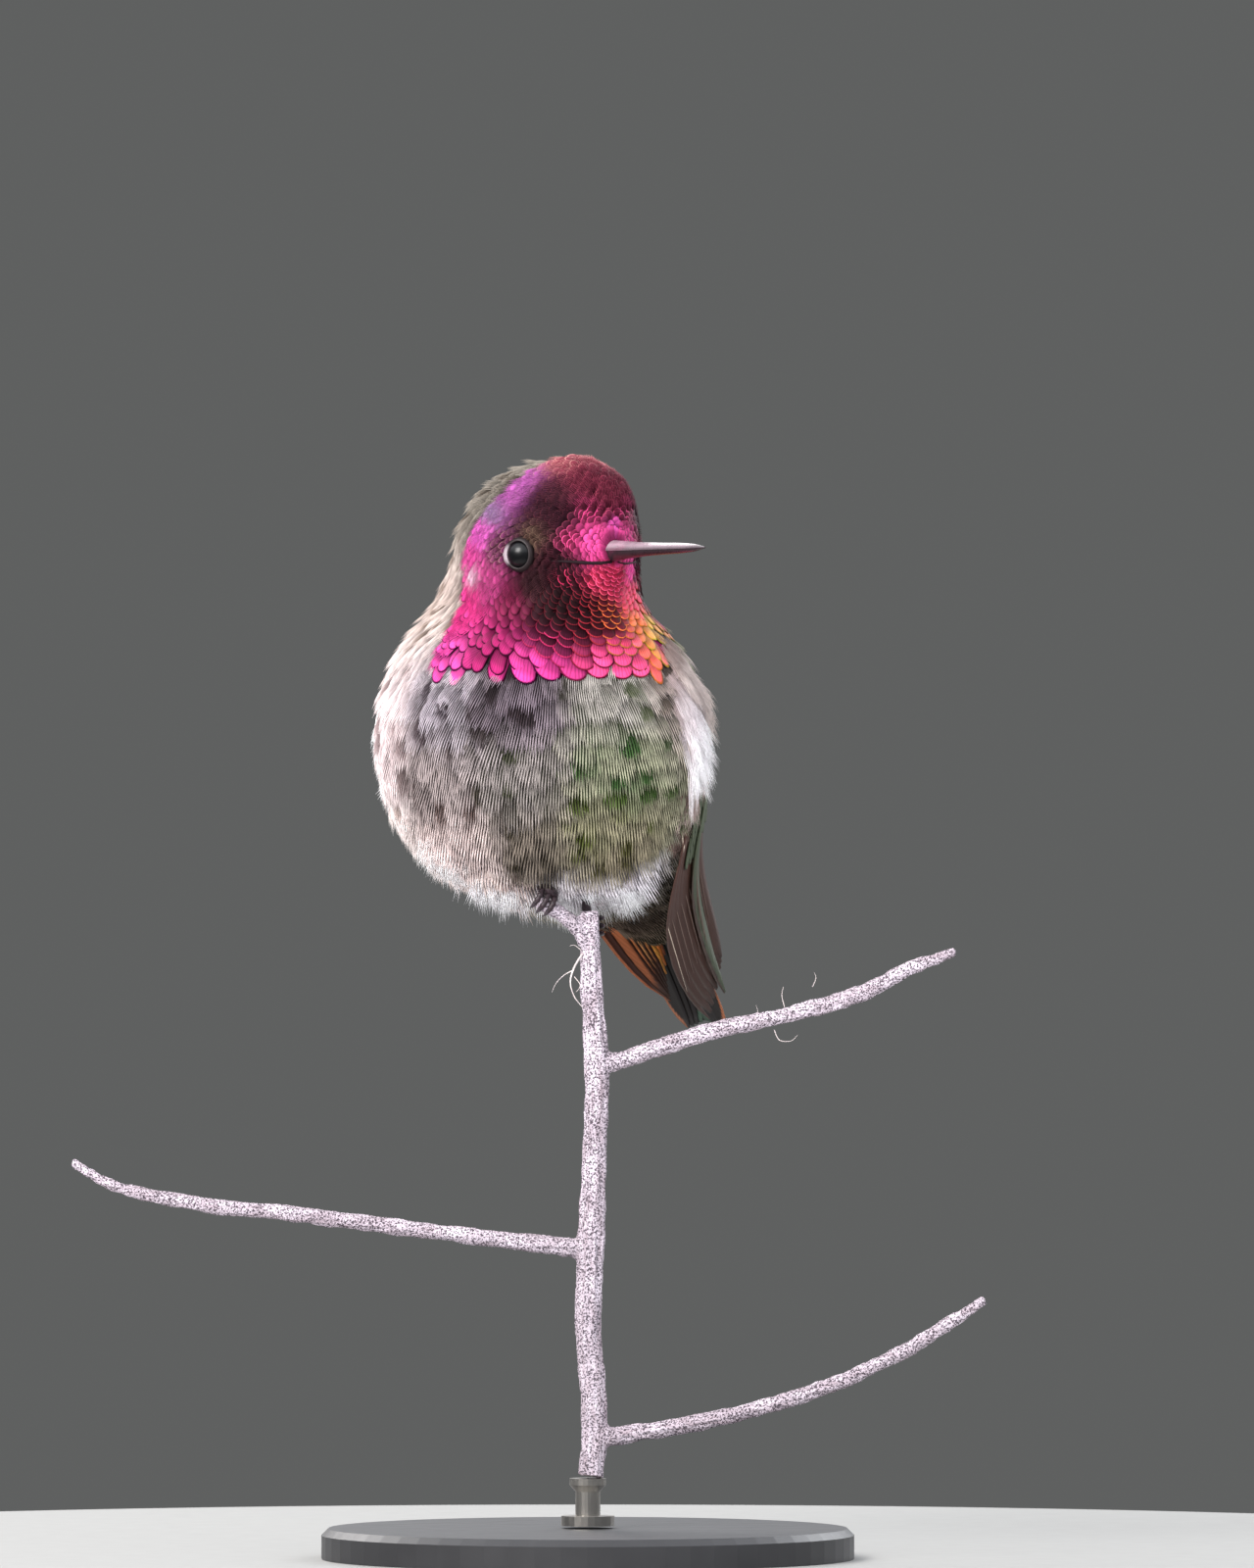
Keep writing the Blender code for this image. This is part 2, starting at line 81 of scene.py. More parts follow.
# how strongly the room lights, then how strongly it mirrors: below, above, and between which heights
ROOM_GLOW = (0.45, 1.2, -0.15, 0.25)
ROOM_GLEAM = (0.2, 2.4, 0.2, 0.5)
TABLE_RADIUS = 0.15
TABLE_DROP = 0.05 * MM
LAMPS = (
    # name, place, size, watts, colour
    ("lamp_key", (-0.55, -0.75, 0.75), 0.6, 18.0, (1.0, 0.97, 0.95)),
    ("lamp_fill", (0.75, -0.85, 0.30), 0.7, 6.5, (0.93, 0.96, 1.0)),
    ("lamp_low", (-0.30, -0.80, -0.20), 0.5, 11.0, (0.97, 0.97, 1.0)),
    ("lamp_rim", (-0.35, 0.65, 0.55), 0.5, 5.0, (1.0, 0.96, 0.93)),
    ("lamp_back", (0.5, 0.6, 0.4), 0.5, 3.0, (0.95, 0.97, 1.0)),
)
LAMP_AIM = (0, 0, 0.09)
NO_MIRRORED_LAMPS = ("lamp_low", "lamp_fill")


def srgb(red, green, blue):
    """A colour given as 0 to 255 on a screen, in linear light."""
    return tuple(((c / 255 + 0.055) / 1.055) ** 2.4 if c > 10 else c / 3294 for c in (red, green, blue))


def node(tree, kind, inputs=None, **settings):
    """A shader node. An input's value may be another node's socket, which is then linked."""
    made = tree.nodes.new(f"ShaderNode{kind}")
    for name, value in settings.items():
        setattr(made, name, value)
    for socket, value in (inputs or {}).items():
        if isinstance(value, bpy.types.NodeSocket):
            tree.links.new(value, made.inputs[socket])
        else:
            made.inputs[socket].default_value = value
    return made


def scaled(tree, value, low, high, start=0.0, end=1.0):
    """A value that goes from low to high as another goes from start to end."""
    inputs = {"Value": value, "From Min": start, "From Max": end, "To Min": low, "To Max": high}
    return node(tree, "MapRange", inputs).outputs[0]


def ramp(tree, value, low, high, start=0.0, end=1.0):
    """A colour that goes from low to high as a value goes from start to end."""
    made = node(tree, "ValToRGB", {"Fac": value})
    for element, colour, position in zip(made.color_ramp.elements, (low, high), (start, end)):
        element.color = (*colour, 1)
        element.position = position
    return made.outputs["Color"]


def mixed(tree, share, first, second, **settings):
    """A share of the second colour over the first."""
    return node(tree, "Mix", {0: share, 6: first, 7: second}, data_type="RGBA", **settings).outputs[2]


def finish_material(name, roughness, **values):
    """A material and its node tree."""
    made = bpy.data.materials.new(name)
    made.use_nodes = True
    shader = made.node_tree.nodes["Principled BSDF"]
    shader.inputs["Roughness"].default_value = roughness
    for socket, value in values.items():
        shader.inputs[socket.replace("_", " ")].default_value = value
    return made, made.node_tree


def feed(tree, height=None, strength=0.0, distance=0.0, invert=False, **sockets):
    """Links sockets to a material's inputs of the same names, and a height to a bump of its normal."""
    shader = tree.nodes["Principled BSDF"]
    for name, socket in sockets.items():
        tree.links.new(socket, shader.inputs[name.replace("_", " ")])
    if height is not None:
        bump = {"Strength": strength, "Distance": distance, "Height": height}
        tree.links.new(node(tree, "Bump", bump, invert=invert).outputs[0], shader.inputs["Normal"])


def new_object(name, bm, *paints):
    mesh = bpy.data.meshes.new(name)
    bm.to_mesh(mesh)
    bm.free()
    made = bpy.data.objects.new(name, mesh)
    scene.collection.objects.link(made)
    for paint in paints:
        mesh.materials.append(paint)
    return made


scene = bpy.context.scene
for old in list(scene.objects):
    if old.type in ("CAMERA", "LIGHT") or old.name == "Cube":
        bpy.data.objects.remove(old)

camera_data = bpy.data.cameras.new("camera")
camera_data.lens = CAMERA_LENS
camera_data.clip_end = CAMERA_FAR
camera = bpy.data.objects.new("camera", camera_data)
scene.collection.objects.link(camera)
camera.location = CAMERA_PLACE
camera.rotation_euler = (math.pi / 2, 0, 0)
scene.camera = camera
scene.view_settings.view_transform = "Standard"

world = bpy.data.worlds.new("room")
scene.world = world
world.use_nodes = True
tree = world.node_tree
tree.nodes.clear()
way = node(tree, "TexCoord").outputs["Generated"]
up = node(tree, "SeparateXYZ", {0: way}).outputs[2]
rays = node(tree, "LightPath").outputs
glow, gleam = scaled(tree, up, *ROOM_GLOW), scaled(tree, up, *ROOM_GLEAM)
strength = node(tree, "Mix", {0: rays["Is Glossy Ray"], 2: glow, 3: gleam}).outputs[0]
lit = node(tree, "Background", {"Color": (*ROOM_LIGHT, 1), "Strength": strength}).outputs[0]
seen = node(tree, "Background", {"Color": (*ROOM_GREY, 1)}).outputs[0]
shown = node(tree, "MixShader", {0: rays["Is Camera Ray"], 1: lit, 2: seen})
node(tree, "OutputWorld", {"Surface": shown.outputs[0]})

for name, place, size, watts, colour in LAMPS:
    lamp_data = bpy.data.lights.new(name, "AREA")
    lamp_data.size, lamp_data.energy, lamp_data.color = size, watts, colour
    lamp = bpy.data.objects.new(name, lamp_data)
    scene.collection.objects.link(lamp)
    lamp.location = place
    lamp.rotation_euler = (Vector(LAMP_AIM) - Vector(place)).to_track_quat("-Z", "Y").to_euler()
    lamp.visible_camera = False
    lamp.visible_glossy = name not in NO_MIRRORED_LAMPS

table_paint, tree = finish_material("table", 0.7)
grain = node(tree, "TexNoise", {"Scale": 90.0, "Detail": 4.0}).outputs["Fac"]
feed(tree, Base_Color=ramp(tree, grain, srgb(142, 142, 140), srgb(152, 152, 150)))
bm = bmesh.new()
bmesh.ops.create_circle(bm, cap_ends=True, segments=96, radius=TABLE_RADIUS)
bmesh.ops.translate(bm, verts=bm.verts, vec=(0, 0, -TABLE_DROP))
table = new_object("table", bm, table_paint)


# The stand -----------------------------------------------------------------------------------------
# A turned disc of dark resin with a soft sheen, and a brushed steel rod pressed into it. The rod's
# seat holds the cut end of the twig.

BASE_COLOUR = np.array(srgb(44, 44, 46))
ROD_COLOUR = np.array(srgb(178, 174, 168))


def mottle(tree, scale, detail=2.0, roughness=0.5, vector=None):
    """A cloudy pattern of values, on the object's coordinates or on the vector given."""
    place = vector or node(tree, "TexCoord").outputs["Object"]
    inputs = {"Vector": place, "Scale": scale, "Detail": detail, "Roughness": roughness}
    return node(tree, "TexNoise", inputs).outputs["Fac"]


def stretched(tree, *scale):
    """The object's coordinates, scaled by axis."""
    place = node(tree, "TexCoord").outputs["Object"]
    return node(tree, "Mapping", {"Vector": place, "Scale": scale}).outputs[0]


base_paint, tree = finish_material("stand_base_resin", 0.42)
cloud = mottle(tree, 260.0, 6.0)
tone = ramp(tree, cloud, BASE_COLOUR * 0.8, BASE_COLOUR * 1.25)
feed(tree, cloud, 0.15, 0.0001, Base_Color=tone, Roughness=scaled(tree, cloud, 0.36, 0.52))

rod_paint, tree = finish_material("stand_rod_steel", 0.34, Metallic=1.0)
streak = mottle(tree, 900.0, 3.0, vector=stretched(tree, 1, 1, 40))
feed(tree, streak, 0.2, 0.00003, Base_Color=ramp(tree, streak, ROD_COLOUR * 0.82, ROD_COLOUR))

for name, paint in (("stand_base", base_paint), ("stand_rod", rod_paint)):
    nodes[name].data.materials.clear()
    nodes[name].data.materials.append(paint)


# The perch -----------------------------------------------------------------------------------------
# One dead, weathered twig: a cut stem with a forked top and three side shoots. The bark has gone
# pale and silvery, split along the grain, with dark specks and shreds of lifted fibre.

TWIG_NODES = ("perch_stem", "perch_fork", "perch_branch_left", "perch_branch_lower", "perch_branch_upper")
BARK_VOXEL = 0.26 * MM
BARK_GAP_FILL = 0.22 * MM
BARK_RIDGES = 0.17 * MM
BARK_KNOTS = 0.16 * MM
BARK_SUNK = 0.16 * MM
STEM_MIDDLE, STEM_REACH = 0.6 * MM, (1.7 * MM, 3.4 * MM)  # the stem's place in x, and how far it counts
BARK_PALE = srgb(212, 202, 211)
BARK_MID = srgb(172, 158, 165)
BARK_DARK = srgb(62, 55, 62)
BARK_PEELED = srgb(226, 214, 206)
BARK_FIBRES = (
    # half thickness, then the way from the bark to the free end (mm)
    (0.14, ((-0.6, -0.9, 72.6), (-1.6, -1.5, 71.0), (-2.1, -1.7, 69.2), (-1.6, -1.4, 67.4),
            (-0.5, -0.9, 66.0))),
    (0.06, ((-1.8, -1.5, 70.6), (-3.0, -1.8, 69.9), (-3.9, -1.9, 68.9), (-4.3, -1.8, 67.9))),
    (0.06, ((-1.6, -1.5, 69.8), (-0.9, -1.9, 68.8), (-1.4, -2.0, 68.0))),
    (0.05, ((-0.8, -1.0, 73.0), (-1.6, -1.2, 73.6), (-2.2, -1.3, 73.5))),
    (0.06, ((23.6, 0.2, 66.2), (23.3, 0.0, 67.6), (23.5, -0.1, 68.6))),
    (0.05, ((20.0, 0.2, 64.6), (20.4, 0.0, 65.6), (20.2, 0.0, 66.4))),
    (0.05, ((27.0, 0.4, 68.6), (27.4, 0.2, 69.6), (27.2, 0.2, 70.3))),
    (0.06, ((22.4, 0.0, 63.4), (23.0, -0.2, 62.2), (24.4, -0.2, 62.1), (25.2, -0.2, 62.8))),
)
FIBRE_STEPS = 14
FIBRE_TURNS = (0, 1.3, 2.5, 3.8, 5.0)


def join(whole, part):
    """Moves a bmesh's shape into another."""
    copy = bpy.data.meshes.new("copy")
    part.to_mesh(copy)
    part.free()
    whole.from_mesh(copy)
    bpy.data.meshes.remove(copy)


def merged(*names, grow=0.0):
    """One bmesh of copies of CAD nodes, each a closed solid, moved out along its normals by grow."""
    whole = bmesh.new()
    for name in names:
        part = bmesh.new()
        part.from_mesh(nodes[name].data)
        bmesh.ops.remove_doubles(part, verts=part.verts, dist=0.002 * MM)
        part.normal_update()
        for vert in part.verts:
            vert.co += vert.normal * grow
        join(whole, part)
    return whole


def remeshed(name, bm, voxel, smoothing):
    """The fused, evenly faced form of a bmesh of overlapping solids."""
    made = new_object(name, bm)
    remesh = made.modifiers.new("fuse", "REMESH")
    remesh.mode = "VOXEL"
    remesh.voxel_size = voxel
    smooth = made.modifiers.new("smooth", "SMOOTH")
    smooth.factor = 0.5
    smooth.iterations = smoothing
    bpy.context.view_layer.update()
    graph = bpy.context.evaluated_depsgraph_get()
    mesh = bpy.data.meshes.new_from_object(made.evaluated_get(graph))
    made.modifiers.clear()
    made.data = mesh
    return made


def read_points(mesh, normals=False):
    """The places of a mesh's points, or the normals there."""
    found = np.empty(len(mesh.vertices) * 3)
    if normals:
        mesh.vertex_normals.foreach_get("vector", found)
    else:
        mesh.vertices.foreach_get("co", found)
    return found.reshape(-1, 3)


def write_points(mesh, points):
    mesh.vertices.foreach_set("co", points.ravel())
    mesh.update()


def ease(low, high, values):
    share = np.clip((np.asarray(values, float) - low) / (high - low), 0, 1)
    return share * share * (3 - 2 * share)


def lofted(rings):
    """A closed bmesh through rings of points, with both ends filled."""
    bm = bmesh.new()
    loops = []
    for ring in rings:
        verts = [bm.verts.new(point) for point in ring]
        edges = [bm.edges.new((verts[i - 1], verts[i])) for i in range(len(verts))]
        loops.append((verts, edges))
    for (_, first), (_, second) in zip(loops, loops[1:]):
        bmesh.ops.bridge_loops(bm, edges=first + second)
    bm.faces.new(loops[0][0])
    bm.faces.new(loops[-1][0])
    bmesh.ops.recalc_face_normals(bm, faces=bm.faces)
    return bm


def dress(made, slot, *replaced):
    """Smooths a finished piece's shading and puts it on the frame."""
    made.data.shade_smooth()
    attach(made, "root")
    if replaced:
        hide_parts(*replaced)


perch = remeshed("perch", merged(*TWIG_NODES, grow=BARK_GAP_FILL), BARK_VOXEL, 1)
points, normals = read_points(perch.data), read_points(perch.data, normals=True)
upright = 1 - ease(*STEM_REACH, np.abs(points[:, 0] - STEM_MIDDLE))
lift = np.empty(len(points))
for i, (point, share) in enumerate(zip(points / MM, upright)):
    stretch = Vector((point[0] * (0.25 + 1.55 * share), point[1] * 1.8, point[2] * (1.8 - 1.55 * share)))
    ridges = noise.fractal(stretch, 1.0, 2.0, 3)
    knots = noise.noise(Vector(point) * 0.33)
    lift[i] = BARK_RIDGES * ridges + BARK_KNOTS * knots - BARK_SUNK
write_points(perch.data, points + normals * lift[:, None])

bark_paint, tree = finish_material("weathered_bark", 0.9, Specular_IOR_Level=0.25)
axis = node(tree, "Attribute", attribute_name="upright").outputs["Fac"]
ways = {0: axis, 4: stretched(tree, 0.14, 1, 1), 5: stretched(tree, 1, 1, 0.12)}
grain = node(tree, "Mix", ways, data_type="VECTOR").outputs[1]
fibre = mottle(tree, 2100.0, 5.0, 0.7, grain)
tone = ramp(tree, fibre, BARK_MID, BARK_PALE, 0.34, 0.62)
spots = ramp(tree, mottle(tree, 4600.0, 3.0, 0.6), (0.95, 0.95, 0.95), (0, 0, 0), 0.44, 0.52)
specked = mixed(tree, spots, tone, (*BARK_DARK, 1))
warm = ramp(tree, mottle(tree, 260.0, 3.0), (0.72, 0.68, 0.7), (1.1, 1.08, 1.1), 0.3, 0.62)
aged = mixed(tree, 1.0, specked, warm, blend_type="MULTIPLY")
feed(tree, fibre, 0.7, 0.00012, Base_Color=aged)
perch.data.materials.append(bark_paint)
perch.data.attributes.new("upright", "FLOAT", "POINT").data.foreach_set("value", upright)
dress(perch, "dead_wood", *TWIG_NODES)

fibre_paint, tree = finish_material("bark_fibre", 0.7, Specular_IOR_Level=0.3)
feed(tree, Base_Color=ramp(tree, mottle(tree, 900.0), BARK_MID, BARK_PEELED))
bm = bmesh.new()
for radius, route in BARK_FIBRES:
    line = [Vector(point) * MM for point in route]
    rings = []
    for k in range(FIBRE_STEPS + 1):
        place = k / FIBRE_STEPS * (len(line) - 1)
        first = min(int(place), len(line) - 2)
        blend = place - first
        before, after = line[max(first - 1, 0)], line[min(first + 2, len(line) - 1)]
        middle = 0.5 * (
            2 * line[first]
            + (line[first + 1] - before) * blend
            + (2 * before - 5 * line[first] + 4 * line[first + 1] - after) * blend**2
            + (3 * line[first] - before - 3 * line[first + 1] + after) * blend**3
        )
        size = radius * MM * (1 - 0.75 * k / FIBRE_STEPS)
        rings.append([middle + Vector((math.cos(a), math.sin(2 * a) * 0.4, math.sin(a))) * size
                      for a in FIBRE_TURNS])
    join(bm, lofted(rings))
fibres = new_object("bark_fibres", bm, fibre_paint)
dress(fibres, "dead_wood")


# The skin ------------------------------------------------------------------------------------------
# One soft skin under the feathers, from the bill's root to the tail's. It lies inside the plumage's
# outer form by the depth of the coat, and carries the same markings.

EYE_FORWARD, EYE_UP = 3.9 * MM, 0.5 * MM  # of the eyes, from the head's centre
WINGS_BACK, WINGS_DOWN = 21.39 * MM, 13.85 * MM  # of the wings' middles, from the body's centre
FORM_VOXEL = 0.6 * MM
FORM_CLOSING = 1.3 * MM  # slots narrower than twice this are closed
BILL_PLUG, BILL_PLUG_FORWARD = 1.6 * MM, 2.4 * MM  # closes the bill's socket
EYE_TURN = math.radians(25)  # the eye looks a little forward
GORGET_LEFT_END = 7.8  # mm to the left at its lower edge, where the shoulder covers it
EYE_DENT = 0.85 * MM
EYE_DENT_REACH = (1.5 * MM, 3.5 * MM)
FACE_DEPTH, CROWN_DEPTH, BODY_DEPTH = 0.4 * MM, 0.7 * MM, 1.5 * MM

# The iridescent scales are painted as they look in this light: painted glints where they catch it, painted
# shade where they turn dull, and dark edges partly their own and partly painted shadow.
HEAD_MARKS = {
    # name: forward, out to the side, up from the head's centre, reach (mm); face and edge of a feather
    "forehead_glow": ((11.2, 2.8, 2.4), 1.9, (226, 74, 144), (60, 8, 34)),
    "forehead_side": ((9.6, 5.0, 2.2), 1.4, (112, 30, 60), (226, 76, 136)),
    "forehead_violet": ((12.0, 0.4, 4.2), 0.7, (238, 92, 180), (96, 26, 84)),
    "forehead_upper": ((10.9, 2.6, 5.4), 1.7, (84, 24, 44), (196, 60, 116)),
    "lore": ((8.9, 5.9, -0.4), 1.9, (36, 16, 22), (76, 28, 40)),
    "brow": ((6.2, 7.4, 3.0), 1.6, (78, 56, 48), (142, 116, 96)),
    "crown_front": ((9.4, 1.0, 8.6), 3.6, (84, 24, 42), (138, 54, 74)),
    # a painted highlight on the top of the crown
    "crown_top_painted_highlight": ((5.6, 2.0, 12.0), 2.6, (142, 60, 76), (206, 140, 136)),
    "crown_dark": ((7.8, 6.4, 5.8), 3.4, (44, 18, 28), (84, 36, 48)),
    "violet_patch": ((1.8, 6.9, 8.6), 2.7, (164, 80, 152), (140, 84, 126)),
    "violet_blue": ((0.2, 9.1, 5.7), 1.5, (132, 98, 140), (130, 108, 126)),
    "side_magenta": ((-1.1, 10.2, 3.2), 1.7, (196, 84, 166), (150, 76, 126)),
    "side_hot": ((-3.0, 10.4, 0.3), 1.9, (208, 72, 146), (150, 58, 104)),
    "side_streak": ((-2.4, 10.4, -1.9), 1.0, (206, 178, 190), (190, 150, 170)),
    "ear": ((0.8, 10.1, -3.0), 1.9, (174, 62, 120), (120, 62, 84)),
    "temple": ((2.2, 9.8, 1.0), 1.6, (104, 48, 80), (150, 104, 110)),
    "under_eye": ((6.0, 8.0, -3.4), 2.1, (46, 22, 28), (74, 44, 46)),
    "gape_side": ((9.0, 5.4, -2.3), 0.9, (44, 14, 20), (220, 58, 104)),
    "chin": ((11.4, 1.2, -3.0), 1.6, (158, 36, 62), (255, 84, 132)),
    "cheek": ((3.2, 9.1, -5.2), 2.2, (112, 30, 62), (70, 22, 40)),
    "cheek_back": ((-4.2, 10.5, -6.2), 2.8, (222, 60, 136), (90, 22, 60)),
    "gorget_corner": ((-4.2, 14.6, -12.2), 3.2, (222, 76, 156), (70, 12, 54)),
    "gorget_side": ((2.6, 12.2, -10.4), 2.6, (152, 32, 90), (46, 8, 30)),
    "gorget_low": ((8.8, 9.8, -13.9), 2.6, (212, 62, 140), (44, 7, 34)),
    "gorget_front": ((13.4, 0.8, -12.6), 2.4, (250, 80, 140), (84, 14, 38)),
}
SHADE_MARKS = {
    # the same, on the right side only, where the scales turn their dull side to the view
    "throat": ((11.6, 2.6, -6.8), 3.2, (26, 6, 10), (136, 34, 46)),
    "cheek_dark": ((8.6, 6.4, -5.9), 3.0, (24, 8, 11), (72, 22, 30)),
    "gorget_mid": ((9.2, 8.0, -10.2), 2.0, (58, 12, 30), (176, 42, 88)),
}
GLINT_MARKS = {
    # and on the left side only
    "chin_side": ((9.6, 4.6, -1.4), 1.6, (255, 84, 170), (200, 60, 110)),
    "rose": ((9.6, 5.2, -4.6), 2.2, (244, 80, 116), (196, 66, 60)),
    "ember": ((12.0, -0.4, -7.6), 2.2, (74, 18, 26), (222, 112, 58)),
    "ember_low": ((13.0, 0.8, -11.4), 1.4, (196, 60, 66), (214, 136, 60)),
    "flame": ((10.6, 4.9, -7.6), 1.5, (246, 122, 80), (196, 116, 44)),
    "flame_low": ((12.6, 5.2, -12.2), 1.4, (250, 108, 92), (196, 104, 44)),
    "gold": ((11.4, 6.4, -10.4), 1.4, (238, 150, 84), (190, 160, 50)),
    "far_gold": ((7.0, 9.6, -9.6), 1.8, (216, 146, 92), (150, 122, 60)),
    "lime": ((9.8, 7.6, -9.0), 1.4, (226, 172, 86), (170, 164, 50)),
}
NAPE_LOW = ((206, 188, 180), (150, 130, 118))
NAPE_HIGH = ((142, 134, 124), (104, 94, 84))
BODY_MARKS = {
    # name: forward, left, up from the body's centre, reach (mm); barbs and the vane under them
    "breast_pale_edge": ((14.0, -14.5, 1.0), 5.6, (226, 208, 208), (172, 150, 150)),
    "breast_upper": ((19.4, -4.5, 4.0), 4.0, (188, 178, 186), (86, 75, 82)),
    "breast_dark": ((18.2, 6.0, 4.6), 4.4, (130, 116, 126), (54, 43, 47)),
    "breast_upper_left": ((11.0, 16.6, 5.4), 4.0, (172, 166, 160), (92, 98, 74)),
    "breast_mid_right": ((18.6, -5.8, -4.6), 4.5, (174, 160, 158), (86, 73, 71)),
    "breast_mid": ((17.9, 6.6, -4.0), 3.6, (152, 143, 140), (70, 72, 54)),
    "flank_green": ((10.5, 17.1, -3.0), 4.4, (152, 152, 128), (60, 92, 48)),
    "flank_low_green": ((9.0, 13.5, -10.5), 4.2, (156, 149, 124), (88, 98, 42)),
    "belly_right": ((14.2, -4.6, -12.6), 4.5, (236, 216, 212), (140, 114, 108)),
    "belly_mid": ((13.0, 5.6, -13.2), 3.6, (124, 113, 102), (54, 48, 34)),
    "belly_left": ((6.6, 13.0, -13.4), 3.6, (140, 129, 108), (80, 74, 44)),
    "belly_pale_side": ((8.0, -12.0, -10.0), 5.0, (252, 238, 234), (200, 178, 170)),
    "fringe": ((4.6, 5.5, -18.4), 3.4, (255, 248, 252), (240, 224, 228)),
    "fringe_left": ((-2.0, 10.6, -16.9), 2.6, (255, 248, 255), (240, 226, 234)),
    "fringe_right": ((9.0, -3.0, -16.5), 3.2, (255, 238, 232), (236, 208, 200)),
    # darker under the tail: the coverts' olive-grey, and painted shade under the body
    "vent": ((-17.0, 1.0, -21.6), 6.5, (112, 96, 84), (68, 54, 46)),
    "vent_side": ((-15.0, 12.0, -14.0), 5.5, (92, 80, 70), (58, 48, 40)),
    "shoulder_right": ((4.0, -18.0, 8.0), 6.5, (244, 230, 228), (190, 172, 164)),
    "shoulder_left": ((2.0, 19.0, 7.0), 4.5, (184, 168, 162), (112, 98, 92)),
    "flank_right": ((0.0, -20.0, -6.0), 6.0, (216, 208, 190), (126, 134, 92)),
    "back": ((-16.0, 0.0, 4.0), 12.0, (152, 156, 128), (74, 92, 54)),
    "rump": ((-24.0, 0.0, -9.0), 8.0, (140, 148, 112), (66, 92, 50)),
}


def head_coordinates(points):
    """Forward, left and up from the head's centre, in millimetres."""
    return (points - head_centre) @ np.array([head_ahead, head_left, (0, 0, 1)]).T / MM


def body_coordinates(points):
    return (points - body_centre) @ np.array([body_ahead, body_left, (0, 0, 1)]).T / MM


def head_place(forward, left, up):
    return head_centre + (head_ahead * forward + head_left * left + np.array((0, 0, up))) * MM


def body_place(forward, left, up):
    return body_centre + (body_ahead * forward + body_left * left + np.array((0, 0, up))) * MM


def mirrored(places):
    """Places on the head, with those on its right moved to its left."""
    return places * (1, 0, 1) + np.abs(places) * (0, 1, 0)


def blended_marks(places, marks):
    """Colours of face and edge at places in millimetres, blended between the marks near them."""
    total = np.full(len(places), 1e-9)
    face, edge = np.zeros((len(places), 3)), np.zeros((len(places), 3))
    for middle, reach, face_colour, edge_colour in marks:
        near = (0.6 + (((places - np.array(middle)) / reach) ** 2).sum(1)) ** -3.0
        total += near
        face += near[:, None] * np.array(srgb(*face_colour))
        edge += near[:, None] * np.array(srgb(*edge_colour))
    return face / total[:, None], edge / total[:, None]


def between(low, high, share):
    return np.array(low) * (1 - share) + np.array(high) * share


def head_markings(points):
    places = head_coordinates(points)
    both = list(HEAD_MARKS.values())
    face, edge = blended_marks(mirrored(places), both + list(SHADE_MARKS.values()))
    left_face, left_edge = blended_marks(places, both + list(GLINT_MARKS.values()))
    share = ease(-3, 1, places[:, 1])[:, None]
    return face + (left_face - face) * share, edge + (left_edge - edge) * share


def body_markings(points):
    face, edge = blended_marks(body_coordinates(points), list(BODY_MARKS.values()))
    over = (points[:, 2] - neck_low) / MM
    nape = (ease(-2, 9, over) * ease(9, 1, head_coordinates(points)[:, 0]))[:, None]
    high = ease(9, 20, over)[:, None]
    nape_marks = [between(srgb(*mark), srgb(*top), high) for mark, top in zip(NAPE_LOW, NAPE_HIGH)]
    return [values + (mark - values) * nape for values, mark in zip((face, edge), nape_marks)]


def pinkness(points):
    """Over 0, in millimetres, where the bird is crown or gorget."""
    forward, left, up = head_coordinates(points).T
    over = (points[:, 2] - neck_low) / MM
    left_end = GORGET_LEFT_END + 0.9 * over + 2.0 * np.maximum(over - 6.5, 0)
    return np.minimum(np.minimum(over - 0.5, forward + 4.4 - 0.63 * np.maximum(up, 0)), left_end - left)


def middle_of(name):
    low, high = (np.array(corner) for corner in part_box(name))
    return (low + high) / 2


def eye_axis(side):
    out = head_left if side == "left" else -head_left
    return out * math.cos(EYE_TURN) + head_ahead * math.sin(EYE_TURN)


def dented(points):
    """Points near an eye, moved in to its socket."""
    for side, place in eye_places.items():
        axis = eye_axis(side)
        offset = points - place
        out = offset @ axis
        radius = np.sqrt(np.maximum((offset**2).sum(-1) - out**2, 0))
        dent = EYE_DENT * (1 - ease(*EYE_DENT_REACH, radius)) * (out > 0)
        points = points - dent[..., None] * axis
    return points


def store_colours(mesh, colours, layer="plumage"):
    """Stores a colour at each point of a mesh, where its material reads it."""
    colours = np.concatenate([colours, np.ones((len(colours), 1))], axis=1)
    mesh.attributes.new(layer, "FLOAT_COLOR", "POINT").data.foreach_set("color", colours.ravel())


def stored_colours(tree, layer="plumage"):
    return node(tree, "Attribute", attribute_name=layer).outputs["Color"]


def worn_marks(tree, grain, low, high):
    """A piece's own markings, shaded from low to high by a grain."""
    return mixed(
        tree, 1.0, stored_colours(tree), scaled(tree, grain, low, high), blend_type="MULTIPLY"
    )


eye_places = {side: middle_of(f"eye_{side}") for side in ("left", "right")}
head_left = eye_places["left"] - eye_places["right"]
head_left /= np.linalg.norm(head_left)
head_ahead = np.cross(head_left, (0, 0, 1))
head_centre = (eye_places["left"] + eye_places["right"]) / 2 - head_ahead * EYE_FORWARD
head_centre[2] -= EYE_UP
neck_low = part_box("neck")[0].z

wing_middles = [read_points(nodes[name].data).mean(0) for name in ("wing_left", "wing_right")]
body_left = wing_middles[0] - wing_middles[1]
body_left /= np.linalg.norm(body_left)
body_ahead = np.cross(body_left, (0, 0, 1))
body_centre = sum(wing_middles) / 2 + body_ahead * WINGS_BACK
body_centre[2] += WINGS_DOWN

